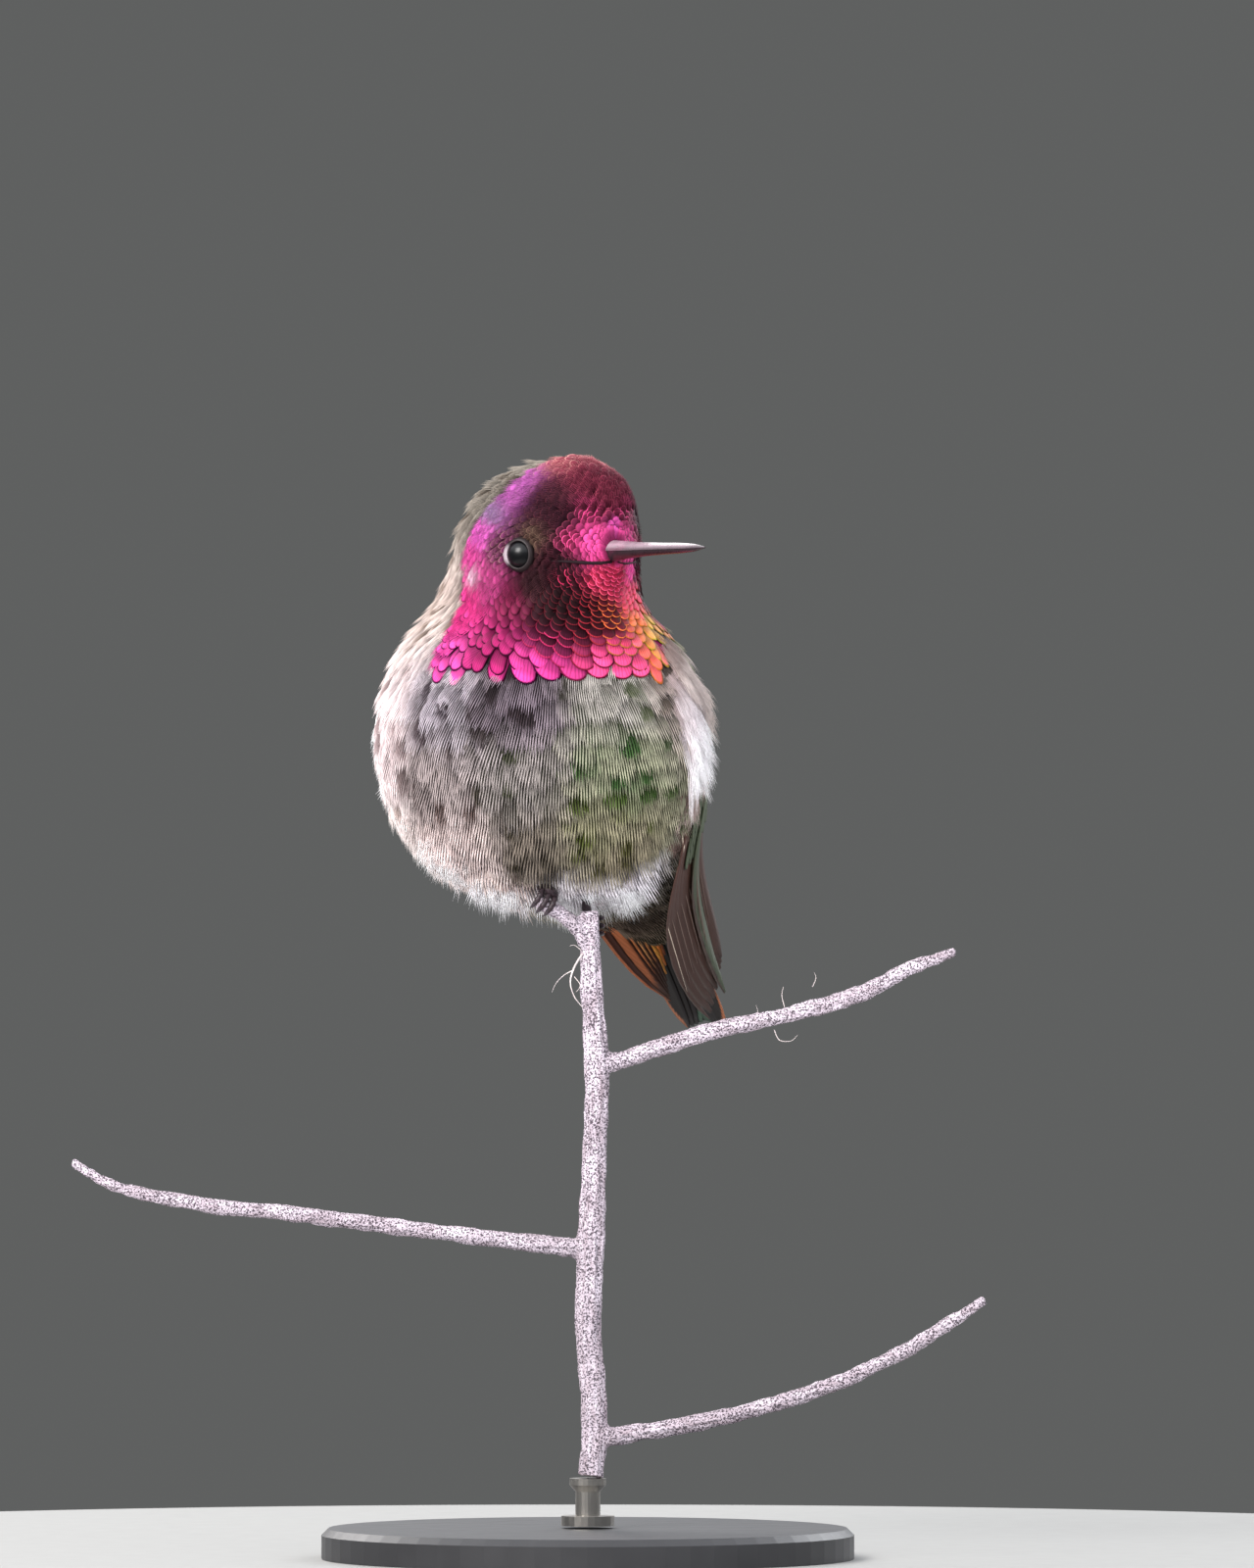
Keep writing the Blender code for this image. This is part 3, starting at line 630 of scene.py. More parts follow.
bill_points = np.concatenate([read_points(nodes[f"bill_{half}"].data) for half in ("upper", "lower")])
reach = (bill_points - head_centre) @ head_ahead
bill_root = bill_points[reach < reach.min() + 0.05 * MM]
bill_root = (bill_root.min(0) + bill_root.max(0)) / 2
bill_tip = bill_points[reach.argmax()]
bill_axis = (bill_tip - bill_root) / np.linalg.norm(bill_tip - bill_root)
bill_up = np.cross(head_left, bill_axis)
bill_up /= np.linalg.norm(bill_up)
if bill_up[2] < 0:
    bill_up = -bill_up

bm = merged("head", "neck", "trunk", "eye_left", "eye_right", grow=FORM_CLOSING)
bmesh.ops.create_icosphere(
    bm, subdivisions=3, radius=BILL_PLUG + FORM_CLOSING,
    matrix=Matrix.Translation(Vector(bill_root + bill_axis * BILL_PLUG_FORWARD)),
)
form = remeshed("skin", bm, FORM_VOXEL, 2)
write_points(form.data, read_points(form.data) - read_points(form.data, normals=True) * FORM_CLOSING)
bm = bmesh.new()
bm.from_mesh(form.data)
bmesh.ops.smooth_vert(bm, verts=bm.verts, factor=0.5, use_axis_x=True, use_axis_y=True, use_axis_z=True)
form_tree = BVHTree.FromBMesh(bm)
bm.to_mesh(form.data)
bm.free()
form.data.update()

points, normals = read_points(form.data), read_points(form.data, normals=True)
low = np.clip((points[:, 2] - neck_low) / MM, -6, 20)
facing = head_coordinates(points)[:, 0]
depth = BODY_DEPTH + (CROWN_DEPTH - BODY_DEPTH) * ease(-5, 5, low)
depth += (FACE_DEPTH - depth) * ease(-2, 6, facing) * ease(2, 9, low)
points = dented(points - normals * depth[:, None])
write_points(form.data, points)

skin_paint, tree = finish_material("skin", 0.8, Specular_IOR_Level=0.2)
pores = mottle(tree, 2400.0, 4.0)
feed(tree, pores, 0.5, 0.0001, Base_Color=worn_marks(tree, pores, 0.55, 1.0))
head_face, head_edge = head_markings(points)
_, body_edge = body_markings(points)
pink = ease(-0.5, 0.5, pinkness(points))[:, None]
store_colours(form.data, 0.7 * (body_edge + (0.5 * (head_face + head_edge) - body_edge) * pink))
form.data.materials.append(skin_paint)
dress(form, "plumage", "head", "neck", "trunk")


# The eyes ------------------------------------------------------------------------------------------
# Black, wet eyes that show a third of their ball, with a rolled rim of bare lid round each, pale
# behind the eye.

EYE_RADIUS = 1.8 * MM
LID_PROFILE = (
    # radius from the eye's axis, height over its centre (mm)
    (1.44, 0.98), (1.47, 1.14), (1.54, 1.19), (1.64, 1.12),
    (1.78, 0.92), (1.96, 0.6), (1.8, 0.35), (1.5, 0.5),
)
LID_STEPS = 56
LID_WIDE, LID_TALL = 0.97, 1.1  # of the opening
LID_BACK_FLARE = 0.38
LID_FLARE_FROM, LID_FLARE_OVER = 1.3 * MM, 0.7 * MM  # the radius where it starts, and what it grows over
LID_BACK_SINK = 0.25 * MM
LID_PALE_OVER = 0.7  # the lid is pale where the cosine of the angle from its back is over this
LID_DARK = srgb(34, 26, 27)
LID_PALE = srgb(150, 136, 142)

eye_paint, tree = finish_material(
    "wet_eye", 0.34, Coat_Weight=0.12, Coat_Roughness=0.2, Specular_IOR_Level=0.35
)
feed(tree, Base_Color=ramp(tree, mottle(tree, 900.0), srgb(3, 3, 4), srgb(8, 8, 10)))
lid_paint, tree = finish_material("lid_skin", 0.55)
feed(tree, mottle(tree, 5200.0, 3.0), 0.6, 0.00005, Base_Color=stored_colours(tree))

for side, place in eye_places.items():
    axis = Vector(eye_axis(side))
    up = Vector((0, 0, 1))
    up = (up - axis * up.dot(axis)).normalized()
    back = -Vector(head_ahead)
    back = (back - axis * back.dot(axis) - up * back.dot(up)).normalized()
    turn = Matrix((back, up, axis)).transposed().to_4x4()
    if turn.determinant() < 0:
        turn = Matrix((-back, up, axis)).transposed().to_4x4()
    turned = Matrix.Translation(Vector(place)) @ turn
    bm = bmesh.new()
    bmesh.ops.create_uvsphere(bm, u_segments=40, v_segments=24, radius=EYE_RADIUS, matrix=turned)
    dress(new_object(f"eyeball_{side}", bm, eye_paint), "eye", f"eye_{side}")

    bm = bmesh.new()
    verts = [bm.verts.new((radius * MM, 0, height * MM)) for radius, height in LID_PROFILE]
    edges = [bm.edges.new((verts[i - 1], verts[i])) for i in range(len(verts))]
    bmesh.ops.spin(
        bm, geom=verts + edges, cent=(0, 0, 0), axis=(0, 0, 1), angle=2 * math.pi,
        steps=LID_STEPS, use_merge=True,
    )
    bmesh.ops.remove_doubles(bm, verts=bm.verts, dist=1e-7)
    bmesh.ops.recalc_face_normals(bm, faces=bm.faces)
    pale = []
    for vert in bm.verts:
        radius = vert.co.to_2d().length
        backward = (turn.to_3x3() @ vert.co).dot(back) / radius
        pale.append(min(1, 4.0 * max(0, backward - LID_PALE_OVER)))
        behind = max(0, backward) ** 2
        outer = max(0, (radius - LID_FLARE_FROM) / LID_FLARE_OVER)
        vert.co.x *= LID_WIDE * (1 + LID_BACK_FLARE * behind * outer)
        vert.co.y *= LID_TALL
        vert.co.z -= LID_BACK_SINK * behind * outer
    bmesh.ops.transform(bm, verts=bm.verts, matrix=turned)
    lid = new_object(f"lid_{side}", bm, lid_paint)
    store_colours(lid.data, between(LID_DARK, LID_PALE, np.array(pale)[:, None]))
    dress(lid, "eye")


# The bill ------------------------------------------------------------------------------------------
# Two long, fine halves of polished black horn, the upper one lapping over the lower. A painted sheen
# pales the top of the upper half as a highlight, dimming near the tip. A slit of nostril lies at the
# base, half under the forehead's feathers.

BILL_LENGTH = 20.75
BILL_HALF_HEIGHTS = (
    (0.0, 1.35), (3.5, 1.2), (8.0, 0.9), (12.5, 0.74), (16.8, 0.62), (19.4, 0.38), (BILL_LENGTH, 0.1),
)
BILL_HALF_WIDTHS = (
    (0.0, 1.5), (3.5, 1.25), (8.0, 0.9), (12.5, 0.72), (16.8, 0.58), (19.4, 0.36), (BILL_LENGTH, 0.1),
)
LOWER_HEIGHT, LOWER_WIDTH = 0.98, 0.9  # of the upper half's
BILL_JAW = 0.4  # how much deeper the lower half is at its root
BILL_STATIONS = 34
BILL_SIDES = 16
# black horn, and the paler colour of a painted sheen along the upper half's top
BILL_BLACK, BILL_PAINTED_SHEEN = srgb(38, 27, 31), srgb(150, 128, 138)
GAPE_ROUTE = (
    # forward, out to the side, up from the head's centre and half thickness (mm), from the bill back
    (12.3, 0.5, -0.6, 0.16), (11.6, 1.8, -0.6, 0.2), (10.8, 3.2, -0.55, 0.2),
    (10.0, 4.5, -0.45, 0.18), (9.0, 5.8, -0.35, 0.14), (8.1, 6.7, -0.3, 0.06),
)
GAPE_LAP = 0.1  # how far the upper half's edge hangs over the lower
GAPE_LEFT_SIZE = 0.5
NOSTRIL = (4.9, 0.3)  # along the bill and up from its middle (mm)
NOSTRIL_LENGTH, NOSTRIL_HEIGHT, NOSTRIL_DEPTH = 1.3 * MM, 0.28 * MM, 0.3 * MM


def smoothly(place, table):
    """A value between the rows of a table of (place, value), on a smooth line."""
    places, values = zip(*table)
    slopes = np.gradient(values, places)
    k = int(np.clip(np.searchsorted(places, place) - 1, 0, len(places) - 2))
    span = places[k + 1] - places[k]
    t = (place - places[k]) / span
    return (
        (1 + 2 * t) * (1 - t) ** 2 * values[k]
        + t * (1 - t) ** 2 * span * slopes[k]
        + t * t * (3 - 2 * t) * values[k + 1]
        + t * t * (t - 1) * span * slopes[k + 1]
    )


bill_paint, tree = finish_material(
    "bill_horn", 0.26, Coat_Weight=0.5, Coat_Roughness=0.15, Specular_IOR_Level=0.6
)
wear = mottle(tree, 700.0, 5.0)
feed(tree, wear, 0.15, 0.00005, Base_Color=worn_marks(tree, wear, 0.7, 1.2),
     Roughness=scaled(tree, wear, 0.2, 0.36))
gape_paint, tree = finish_material("gape_flesh", 0.7, Specular_IOR_Level=0.15)
tree.nodes["Principled BSDF"].inputs["Base Color"].default_value = (*srgb(30, 18, 22), 1)

for half in ("upper", "lower"):
    rings = []
    for place in np.linspace(0, BILL_LENGTH, BILL_STATIONS):
        tall, wide = smoothly(place, BILL_HALF_HEIGHTS), smoothly(place, BILL_HALF_WIDTHS)
        lap = GAPE_LAP * min(1, tall)
        if half == "lower":
            tall, wide = tall * (LOWER_HEIGHT + BILL_JAW * math.exp(-place / 4)), wide * LOWER_WIDTH
        middle = bill_root + bill_axis * place * MM
        ring = []
        for k in range(BILL_SIDES):
            angle = math.pi * k / (BILL_SIDES - 1)
            across, rise = math.cos(angle), math.sin(angle)
            if half == "upper":
                rise = rise * tall * (1 - 0.18 * abs(across)) - lap * abs(across) ** 6
            else:
                rise = -(rise * tall) + 0.02
            ring.append(Vector(middle + (head_left * across * wide + bill_up * rise) * MM))
        rings.append(ring)
    bm = lofted(rings)
    for side in (-1, 1) if half == "upper" else ():
        nostril = bill_root + (bill_axis * NOSTRIL[0] + bill_up * NOSTRIL[1] + head_left * side) * MM
        for vert in bm.verts:
            offset = np.array(vert.co) - nostril
            length, rise = abs(offset @ bill_axis) / NOSTRIL_LENGTH, abs(offset @ bill_up) / NOSTRIL_HEIGHT
            near = max(0, 1 - length**2 - rise**2)
            if (offset @ head_left) * side > -0.6 * MM:
                vert.co -= Vector(head_left * side * near * NOSTRIL_DEPTH)
    made = new_object(f"bill_{half}_horn", bm, bill_paint)
    points = read_points(made.data) - bill_root
    # painted sheen: the upper half is painted paler towards its top as a highlight, and dimmer near the tip
    painted_sheen = 0.25 + 0.75 * ease(0.0, 0.55, points @ bill_up / MM) if half == "upper" else 0.0
    painted_sheen = painted_sheen * (1 - 0.6 * ease(17, 20, points @ bill_axis / MM))
    store_colours(made.data, between(BILL_BLACK, BILL_PAINTED_SHEEN, painted_sheen[:, None]))
    dress(made, "bill", f"bill_{half}")
    made.data.set_sharp_from_angle(angle=math.radians(50))

for side in (-1, 1):
    rings = []
    for forward, out, up, thick in GAPE_ROUTE:
        place, normal, _, _ = form_tree.find_nearest(Vector(head_place(forward, out * side, up)))
        size = thick * MM * (GAPE_LEFT_SIZE if side > 0 else 1)
        rings.append([
            place + normal * size * (0.35 + 0.9 * math.sin(a)) + Vector((0, 0, 1)) * size * math.cos(a)
            for a in np.linspace(0, 2 * math.pi, 9)[:-1]
        ])
    dress(new_object(f"gape_{'left' if side > 0 else 'right'}", lofted(rings), gape_paint), "bill")


# The feet ------------------------------------------------------------------------------------------
# Short legs of dark scaly skin. Three toes of the right foot come over the fork's stub from the
# front and one from behind, each ringed with scutes and ending in a long hooked claw.

TOE_RADIUS = 0.4 * MM
TOE_STEPS = 26
TOE_SIDES = 8
TOE_UNDER = math.radians(14)  # how far back under the foot a toe starts
SCUTE_RINGS = 7
SCUTE_RISE = 0.14
TOE_TAPER, TOE_ARCH = 0.18, 0.12  # how much thinner it gets, and how far it stands off the perch
CLAW_SHARE = 0.72  # where along the toe its claw begins
CLAW_TIP, CLAW_SWELL = 0.06, 0.72  # its radius, and how much thicker the root is, of the toe's radius
FORK_KNEE, FORK_END, FORK_RADIUS = (-1.9, -1.0, 76.3), (-5.9, -2.2, 78.9), 0.8
RIGHT_GRIP_SHARE = 0.93
STEM_TOP, STEM_RADIUS, LEFT_GRIP_HEIGHT = (0.2, -0.1, 77.6), 1.12, 75.9
TOE_SPREAD = 0.95 * MM
GAP = 0.3 * MM
PAD_RADIUS, SHANK_RADIUS = 1.3 * MM, 0.55 * MM
SHANK_STEPS = 16
LEG_TOPS = {"right": (4.0, -1.5, -13.5), "left": (0.5, 4.5, -13.5)}

foot_paint, tree = finish_material("scaly_foot", 0.5, Specular_IOR_Level=0.5)
place = node(tree, "TexCoord").outputs["Object"]
scales = node(tree, "TexVoronoi", {"Vector": place, "Scale": 4200.0}, feature="F1").outputs["Distance"]
tone = ramp(tree, scales, srgb(56, 42, 47), srgb(20, 14, 18))
feed(tree, scales, 0.6, 0.00006, invert=True, Base_Color=tone)
claw_paint, tree = finish_material("claw_horn", 0.3, Coat_Weight=0.3)
feed(tree, Base_Color=ramp(tree, mottle(tree, 2500.0, 3.0), srgb(34, 27, 32), srgb(72, 60, 66)))


def ring_of(middle, across, upward, sides):
    angles = [2 * math.pi * k / sides for k in range(sides)]
    return [middle + across * math.cos(a) + upward * math.sin(a) for a in angles]


def add_toe(target, centre, axis, start, reach, radius):
    """Adds an arc of ringed toe and hooked claw to a bmesh, with the claw in the second material."""
    rings = []
    for k in range(TOE_STEPS + 1):
        share = k / TOE_STEPS
        out = Matrix.Rotation((reach + TOE_UNDER) * share - TOE_UNDER, 3, axis) @ start
        if share < CLAW_SHARE:
            thick = TOE_RADIUS * (1 + SCUTE_RISE * (math.sin(SCUTE_RINGS * 2 * math.pi * share) - 0.5))
            thick *= 1 - TOE_TAPER * share
        else:
            fade = (share - CLAW_SHARE) / (1 - CLAW_SHARE)
            thick = TOE_RADIUS * (CLAW_SWELL * (1 - fade) ** 0.8 + CLAW_TIP)
        middle = centre + out * (radius + TOE_ARCH * radius * math.sin(math.pi * share))
        rings.append(ring_of(middle, out * thick, axis * thick, TOE_SIDES))
    first_claw = round(CLAW_SHARE * TOE_STEPS)
    for part, slot in ((rings[: first_claw + 1], 0), (rings[first_claw - 1 :], 1)):
        bm = lofted(part)
        for face in bm.faces:
            face.material_index = slot
        join(target, bm)


knee, end = Vector(FORK_KNEE) * MM, Vector(FORK_END) * MM
fork_axis = (end - knee).normalized()
back = Vector((0, 1, 0))
back = (back - fork_axis * back.dot(fork_axis)).normalized()
stem_place = Vector((*STEM_TOP[:2], LEFT_GRIP_HEIGHT)) * MM
grips = {
    # where, the perch's radius and direction, the way to the foot's back, reach of toes before and behind
    "right": (knee.lerp(end, RIGHT_GRIP_SHARE), FORK_RADIUS * MM, fork_axis, back, (165, 130)),
    "left": (stem_place, STEM_RADIUS * MM, Vector((0, 0, -1)), Vector((-1, 0, 0)), (85, 40)),
}
for side, (place, perch_radius, axis, back, reaches) in grips.items():
    radius = perch_radius + GAP + TOE_RADIUS * 0.8
    top = axis.cross(back).normalized()
    if top.z < 0:
        top = -top
    to_front = axis if axis.cross(top).dot(-back) > 0 else -axis
    bm = bmesh.new()
    for k in (-1, 0, 1):
        reach = math.radians(reaches[0] * (1 - 0.08 * abs(k)))
        add_toe(bm, place + axis * TOE_SPREAD * k, to_front, top, reach, radius)
    add_toe(bm, place, -to_front, top, math.radians(reaches[1]), radius)
    ankle = place + top * (perch_radius + GAP + PAD_RADIUS / 2)
    turn = Matrix((axis, top.cross(axis), top)).transposed().to_4x4()
    flat = Matrix.Translation(ankle) @ turn @ Matrix.Diagonal((1, 1, 0.5, 1))
    bmesh.ops.create_icosphere(bm, subdivisions=3, radius=PAD_RADIUS, matrix=flat)
    leg_top = Vector(body_place(*LEG_TOPS[side]))
    along = (leg_top - ankle).normalized()
    across = along.orthogonal().normalized()
    rings = []
    for k in range(SHANK_STEPS + 1):
        thick = SHANK_RADIUS * (1 + 0.1 * math.sin(k * 2.1))
        middle = ankle.lerp(leg_top, k / SHANK_STEPS)
        rings.append(ring_of(middle, across * thick, along.cross(across) * thick, 10))
    join(bm, lofted(rings))
    dress(new_object(f"foot_{side}", bm, foot_paint, claw_paint), "foot", f"leg_{side}")


# The lie of the feathers ---------------------------------------------------------------------------
# Feathers point away from the bill, turn down over the neck and run to the tail. The chart follows
# that lie over the plumage's form, in lines from round the bill that all reach the tail's root in
# the same number of steps.

CHART_LINES = 400
CHART_STEPS = 440
CHART_START = 1.35 * MM
CHART_EVENING = 0.08  # how fast the lines drift to even spaces
TAIL_SIDE, TAIL_ROOT = (-42.0, 0.0, -36.0), (-20.0, 0.0, -14.5)  # in the body's frame, behind and inside
BILL_PULL, BILL_PULL_REACH = 3, 16 * MM  # away from the bill, and how far from it that counts
TAIL_PULL_FROM = 14 * MM  # from the bill, where the pull to the tail takes over
DOWN_PULL = (0, 0, -0.9)
LEFT_SWEEP, LEFT_SWEEP_OVER = 0.8, (3, 14)  # more pull to the tail, growing over these mm to the left
FAN, FAN_HEIGHTS = 1.5, (-26, 0)  # how far feathers fan out from the neck, growing over these mm up to it


def lie(points):
    """The way that feathers point at places on the form."""
    from_bill = points - chart_source
    near = np.linalg.norm(from_bill, axis=1, keepdims=True)
    to_tail = chart_sink - points
    to_tail /= np.linalg.norm(to_tail, axis=1, keepdims=True) + 1e-9
    from_neck = (points - head_centre) * (1, 1, 0)
    from_neck /= np.linalg.norm(from_neck, axis=1, keepdims=True)
    fan = FAN * ease(*FAN_HEIGHTS, (points[:, 2:] - neck_low) / MM)
    strong = BILL_PULL * np.exp(-((near / BILL_PULL_REACH) ** 2))
    weak = 1 - np.exp(-((near / TAIL_PULL_FROM) ** 2))
    sweep = LEFT_SWEEP * ease(*LEFT_SWEEP_OVER, body_coordinates(points)[:, 1:2])
    return from_bill / near * strong + weak * (to_tail * (1 + sweep) + DOWN_PULL + from_neck * fan)


def evened(points, share):
    """A ring of points moved along itself, part of the way to even spaces."""
    ring = np.concatenate([points, points[:1]])
    lengths = np.concatenate(([0], np.cumsum(np.linalg.norm(np.diff(ring, axis=0), axis=1))))
    even = np.arange(len(points)) * lengths[-1] / len(points)
    even += (lengths[:-1] - even).mean()
    wanted = np.mod(lengths[:-1] + share * (even - lengths[:-1]), lengths[-1])
    moved = np.stack([np.interp(wanted, lengths, ring[:, k]) for k in range(3)], axis=1)
    return (np.roll(moved, 1, 0) + 2 * moved + np.roll(moved, -1, 0)) / 4


hit, _, _, _ = form_tree.ray_cast(Vector(bill_tip), Vector(-bill_axis))
chart_source = np.array(hit)
behind = Vector(body_place(*TAIL_SIDE))
hit, _, _, _ = form_tree.ray_cast(behind, (Vector(body_place(*TAIL_ROOT)) - behind).normalized())
chart_sink = np.array(hit)
turns = 2 * np.pi * np.arange(CHART_LINES) / CHART_LINES
ring = np.cos(turns)[:, None] * bill_up + np.sin(turns)[:, None] * head_left
points = chart_source + ring * CHART_START
lines, line_normals = [], []
for number in range(CHART_STEPS):
    found = [form_tree.find_nearest(point)[:2] for point in points]
    points = np.array([place[:] for place, _ in found])
    normals = np.array([normal[:] for _, normal in found])
    lines.append(points)
    line_normals.append(normals)
    way = lie(points)
    way -= (way * normals).sum(1)[:, None] * normals
    way /= np.linalg.norm(way, axis=1)[:, None] + 1e-9
    left_over = np.linalg.norm(points - chart_sink, axis=1)
    stride = np.minimum(1.35 * left_over / (CHART_STEPS - number), 0.9 * left_over)
    points = evened(points + way * stride[:, None], CHART_EVENING)
chart_points = np.array(lines).transpose(1, 0, 2)  # by line, then by step
chart_normals = np.array(line_normals).transpose(1, 0, 2)
for _ in range(4):
    chart_normals = np.roll(chart_normals, 1, 0) + 2 * chart_normals + np.roll(chart_normals, -1, 0)
    chart_normals[:, 1:-1] += 0.5 * (chart_normals[:, :-2] + chart_normals[:, 2:])
    chart_normals /= np.linalg.norm(chart_normals, axis=2)[:, :, None]
chart_across = np.linalg.norm(np.roll(chart_points, -1, 0) - np.roll(chart_points, 1, 0), axis=2)
chart_across *= CHART_LINES / (4 * np.pi)  # metres for each radian of turn
chart_down = np.linalg.norm(np.gradient(chart_points, axis=1), axis=2)  # metres for each step

pink_here = pinkness(chart_points.reshape(-1, 3)).reshape(chart_points.shape[:2]) > 0
pink_ends = np.array([np.argmin(row) for row in pink_here]).astype(float)
for _ in range(5):
    pink_ends = (np.roll(pink_ends, 1) + pink_ends + np.roll(pink_ends, -1)) / 3


def on_chart(values, along, turn):
    """The chart's values at steps from the bill and turns about it, blended between its lines."""
    across = np.asarray(turn) / (2 * np.pi) * CHART_LINES
    first = np.floor(across).astype(int)
    side = (across - first)[..., None]
    step = np.clip(np.asarray(along), 0, CHART_STEPS - 1.001)
    low = step.astype(int)
    down = (step - low)[..., None]
    flat = values if values.ndim == 3 else values[..., None]
    near, far = flat[first % CHART_LINES, low], flat[(first + 1) % CHART_LINES, low]
    near_next, far_next = flat[first % CHART_LINES, low + 1], flat[(first + 1) % CHART_LINES, low + 1]
    found = (near * (1 - side) + far * side) * (1 - down) + (near_next * (1 - side) + far_next * side) * down
    return found if values.ndim == 3 else found[..., 0]


def by_line(values, turn):
    """A value of each line at any turn."""
    return np.interp(np.mod(turn, 2 * np.pi), np.append(turns, 2 * np.pi), np.append(values, values[0]))


def places_along(row, spacing, offset):
    """Turns at even spaces along a row, which is a number of steps for each line."""
    places = on_chart(chart_points, row, turns)
    steps = np.linalg.norm(np.roll(places, -1, 0) - places, axis=1) / spacing
    total = np.concatenate(([0], np.cumsum(steps)))
    count = max(1, int(total[-1]))
    wanted = (np.arange(count) + offset) % count / count * total[-1]
    return np.interp(wanted, total, np.append(turns, 2 * np.pi))


# The scales of crown and gorget --------------------------------------------------------------------
# Stiff little feathers, each with a smooth rounded mirror of fused barbs at its end, laid in rows
# like roof tiles. They are smallest at the bill and largest along the gorget's lower edge.

SCALE_WAIST = 0.62  # share of a scale's length where its rounded end begins
SCALE_ALONG = (0.0, 0.32, SCALE_WAIST, 0.77, 0.88, 0.96, 0.998)
SCALE_THICKNESS, SCALE_CAMBER = 0.03, 0.07  # of its width
# what shows of a scale at the bill, how fast that grows away from it, and its most
GORGET_ROOM, GORGET_MOST = 0.5 * MM, 1.7 * MM
CROWN_ROOM, CROWN_MOST = 0.74 * MM, 0.95 * MM
SCALE_LAP = 2.3  # length of a scale over what shows of it
EYE_CLEAR, GAPE_CLEAR = 2.2 * MM, 0.05 * MM  # no scale's middle is nearer to an eye's centre or the gape
EYE_SMALL = (2.6 * MM, 6.0 * MM)  # scales grow to full size between these distances from that centre
SOFT_FACE = 5.5 * MM  # nearer to it, barbs lie over the gorget's scales as on the crown
PIECE_TRIANGLES = 190000
ROOT_PATCH = 0.0028  # how wide a feather's own patch is on the coat's unwrap

random = np.random.default_rng(11)


def template_arrays(bm):
    """Corners and faces of a small shape of unit size, ready to be laid many times."""
    bm.verts.index_update()
    corners = np.array([vert.co[:] for vert in bm.verts])
    faces = [[vert.index for vert in face.verts] for face in bm.faces]
    bm.free()
    sizes = np.array([len(face) for face in faces])
    return corners, np.concatenate([np.array(face) for face in faces]), sizes


def scale_template():
    """A rounded, slightly domed scale: x is across, y from root to tip, z up."""
    bm = bmesh.new()
    rows = len(SCALE_ALONG) - 1
    bmesh.ops.create_grid(bm, x_segments=4, y_segments=rows, size=0.5)
    for vert in bm.verts:
        across, along = vert.co.x, SCALE_ALONG[round((vert.co.y + 0.5) * rows)]
        root = 0.6 + 0.4 * math.sin(min(1, along / SCALE_WAIST) * math.pi / 2)
        tip = math.sqrt(1 - (max(0.0, along - SCALE_WAIST) / (1 - SCALE_WAIST)) ** 2)
        x = across * root * tip
        vert.co = (x, along, -SCALE_CAMBER * (2 * x) ** 2 - 0.05 * along**3)
    bmesh.ops.solidify(bm, geom=bm.faces, thickness=SCALE_THICKNESS)
    bmesh.ops.recalc_face_normals(bm, faces=bm.faces)
    return template_arrays(bm)


def barb_template(count, levels, thick, fan=1.1, swell=0.03):
    """A comb of tapered three-sided barbs, with rings at the levels given, from root to tip."""
    whole = bmesh.new()
    for k in range(count):
        across = (k + 0.5) / count - 0.5
        reach = 1.04 - 0.2 * (2 * across) ** 2 + 0.045 * math.sin(k * 2.4)
        rings = []
        for level in levels:
            half = thick / count / 2 * (1.0 if level < 0.8 else 1 - 0.85 * ((level - 0.8) / 0.2) ** 2)
            along = levels[0] + (reach - levels[0]) * (level - levels[0]) / (1 - levels[0])
            x = across * (0.85 + (fan - 0.85) * along) + 0.06 / count * math.sin(k * 1.7 + 9 * along)
            middle = Vector((x, along, swell - 0.1 * (2 * across) ** 2))
            side = Vector((half, 0, 0))
            rings.append([middle + side, middle + Vector((0, 0, half)), middle - side])
        join(whole, lofted(rings))
    return template_arrays(whole)


def picked(which, *values):
    return [value[which] for value in values]


def add_piece(name, template, rows, paint, slot, *replaced):
    """Joined copies of a template as pieces under the limit of triangles, with the coat's two UV maps.

    A row holds the corners of its copies, the colours of face and fringe at each corner, and a root
    on the coat's unwrap for each copy.
    """
    corners, loops, sizes = template
    coords, faces, fringes, roots = (np.concatenate(values) for values in zip(*rows))
    count, width = coords.shape[:2]
    per_piece = PIECE_TRIANGLES // int((sizes - 2).sum())
    for number, start in enumerate(range(0, count, per_piece)):
        some = slice(start, min(count, start + per_piece))
        copies = some.stop - start
        index = (loops[None, :] + np.arange(copies)[:, None] * width).ravel()
        mesh = bpy.data.meshes.new(name)
        mesh.vertices.add(copies * width)
        mesh.vertices.foreach_set("co", coords[some].ravel())
        mesh.loops.add(len(index))
        mesh.loops.foreach_set("vertex_index", index)
        totals = np.tile(sizes, copies)
        mesh.polygons.add(len(totals))
        mesh.polygons.foreach_set("loop_start", np.concatenate(([0], np.cumsum(totals)[:-1])))
        mesh.update(calc_edges=True)
        shape = corners[loops, :2]
        patches = roots[some][:, None, :] + (shape * ROOT_PATCH)[None]
        mesh.uv_layers.new(name="OFBake").data.foreach_set("uv", patches.ravel())
        mesh.uv_layers.new(name="vane").data.foreach_set("uv", np.tile(shape.ravel(), copies))
        for layer, colours in (("plumage", faces), ("fringe", fringes)):
            store_colours(mesh, np.clip(colours[some], 0, 1).reshape(-1, 3), layer)
        mesh.materials.append(paint)
        made = bpy.data.objects.new(name if not number else f"{name}_{number + 1}", mesh)
        scene.collection.objects.link(made)
        dress(made, slot, *(() if number else replaced))


def turned_by(angle, first, second):
    """Two amounts along crossed axes, after a turn by an angle from the first to the second."""
    return (
        first * np.cos(angle) + second * np.sin(angle),
        second * np.cos(angle) - first * np.sin(angle),
    )


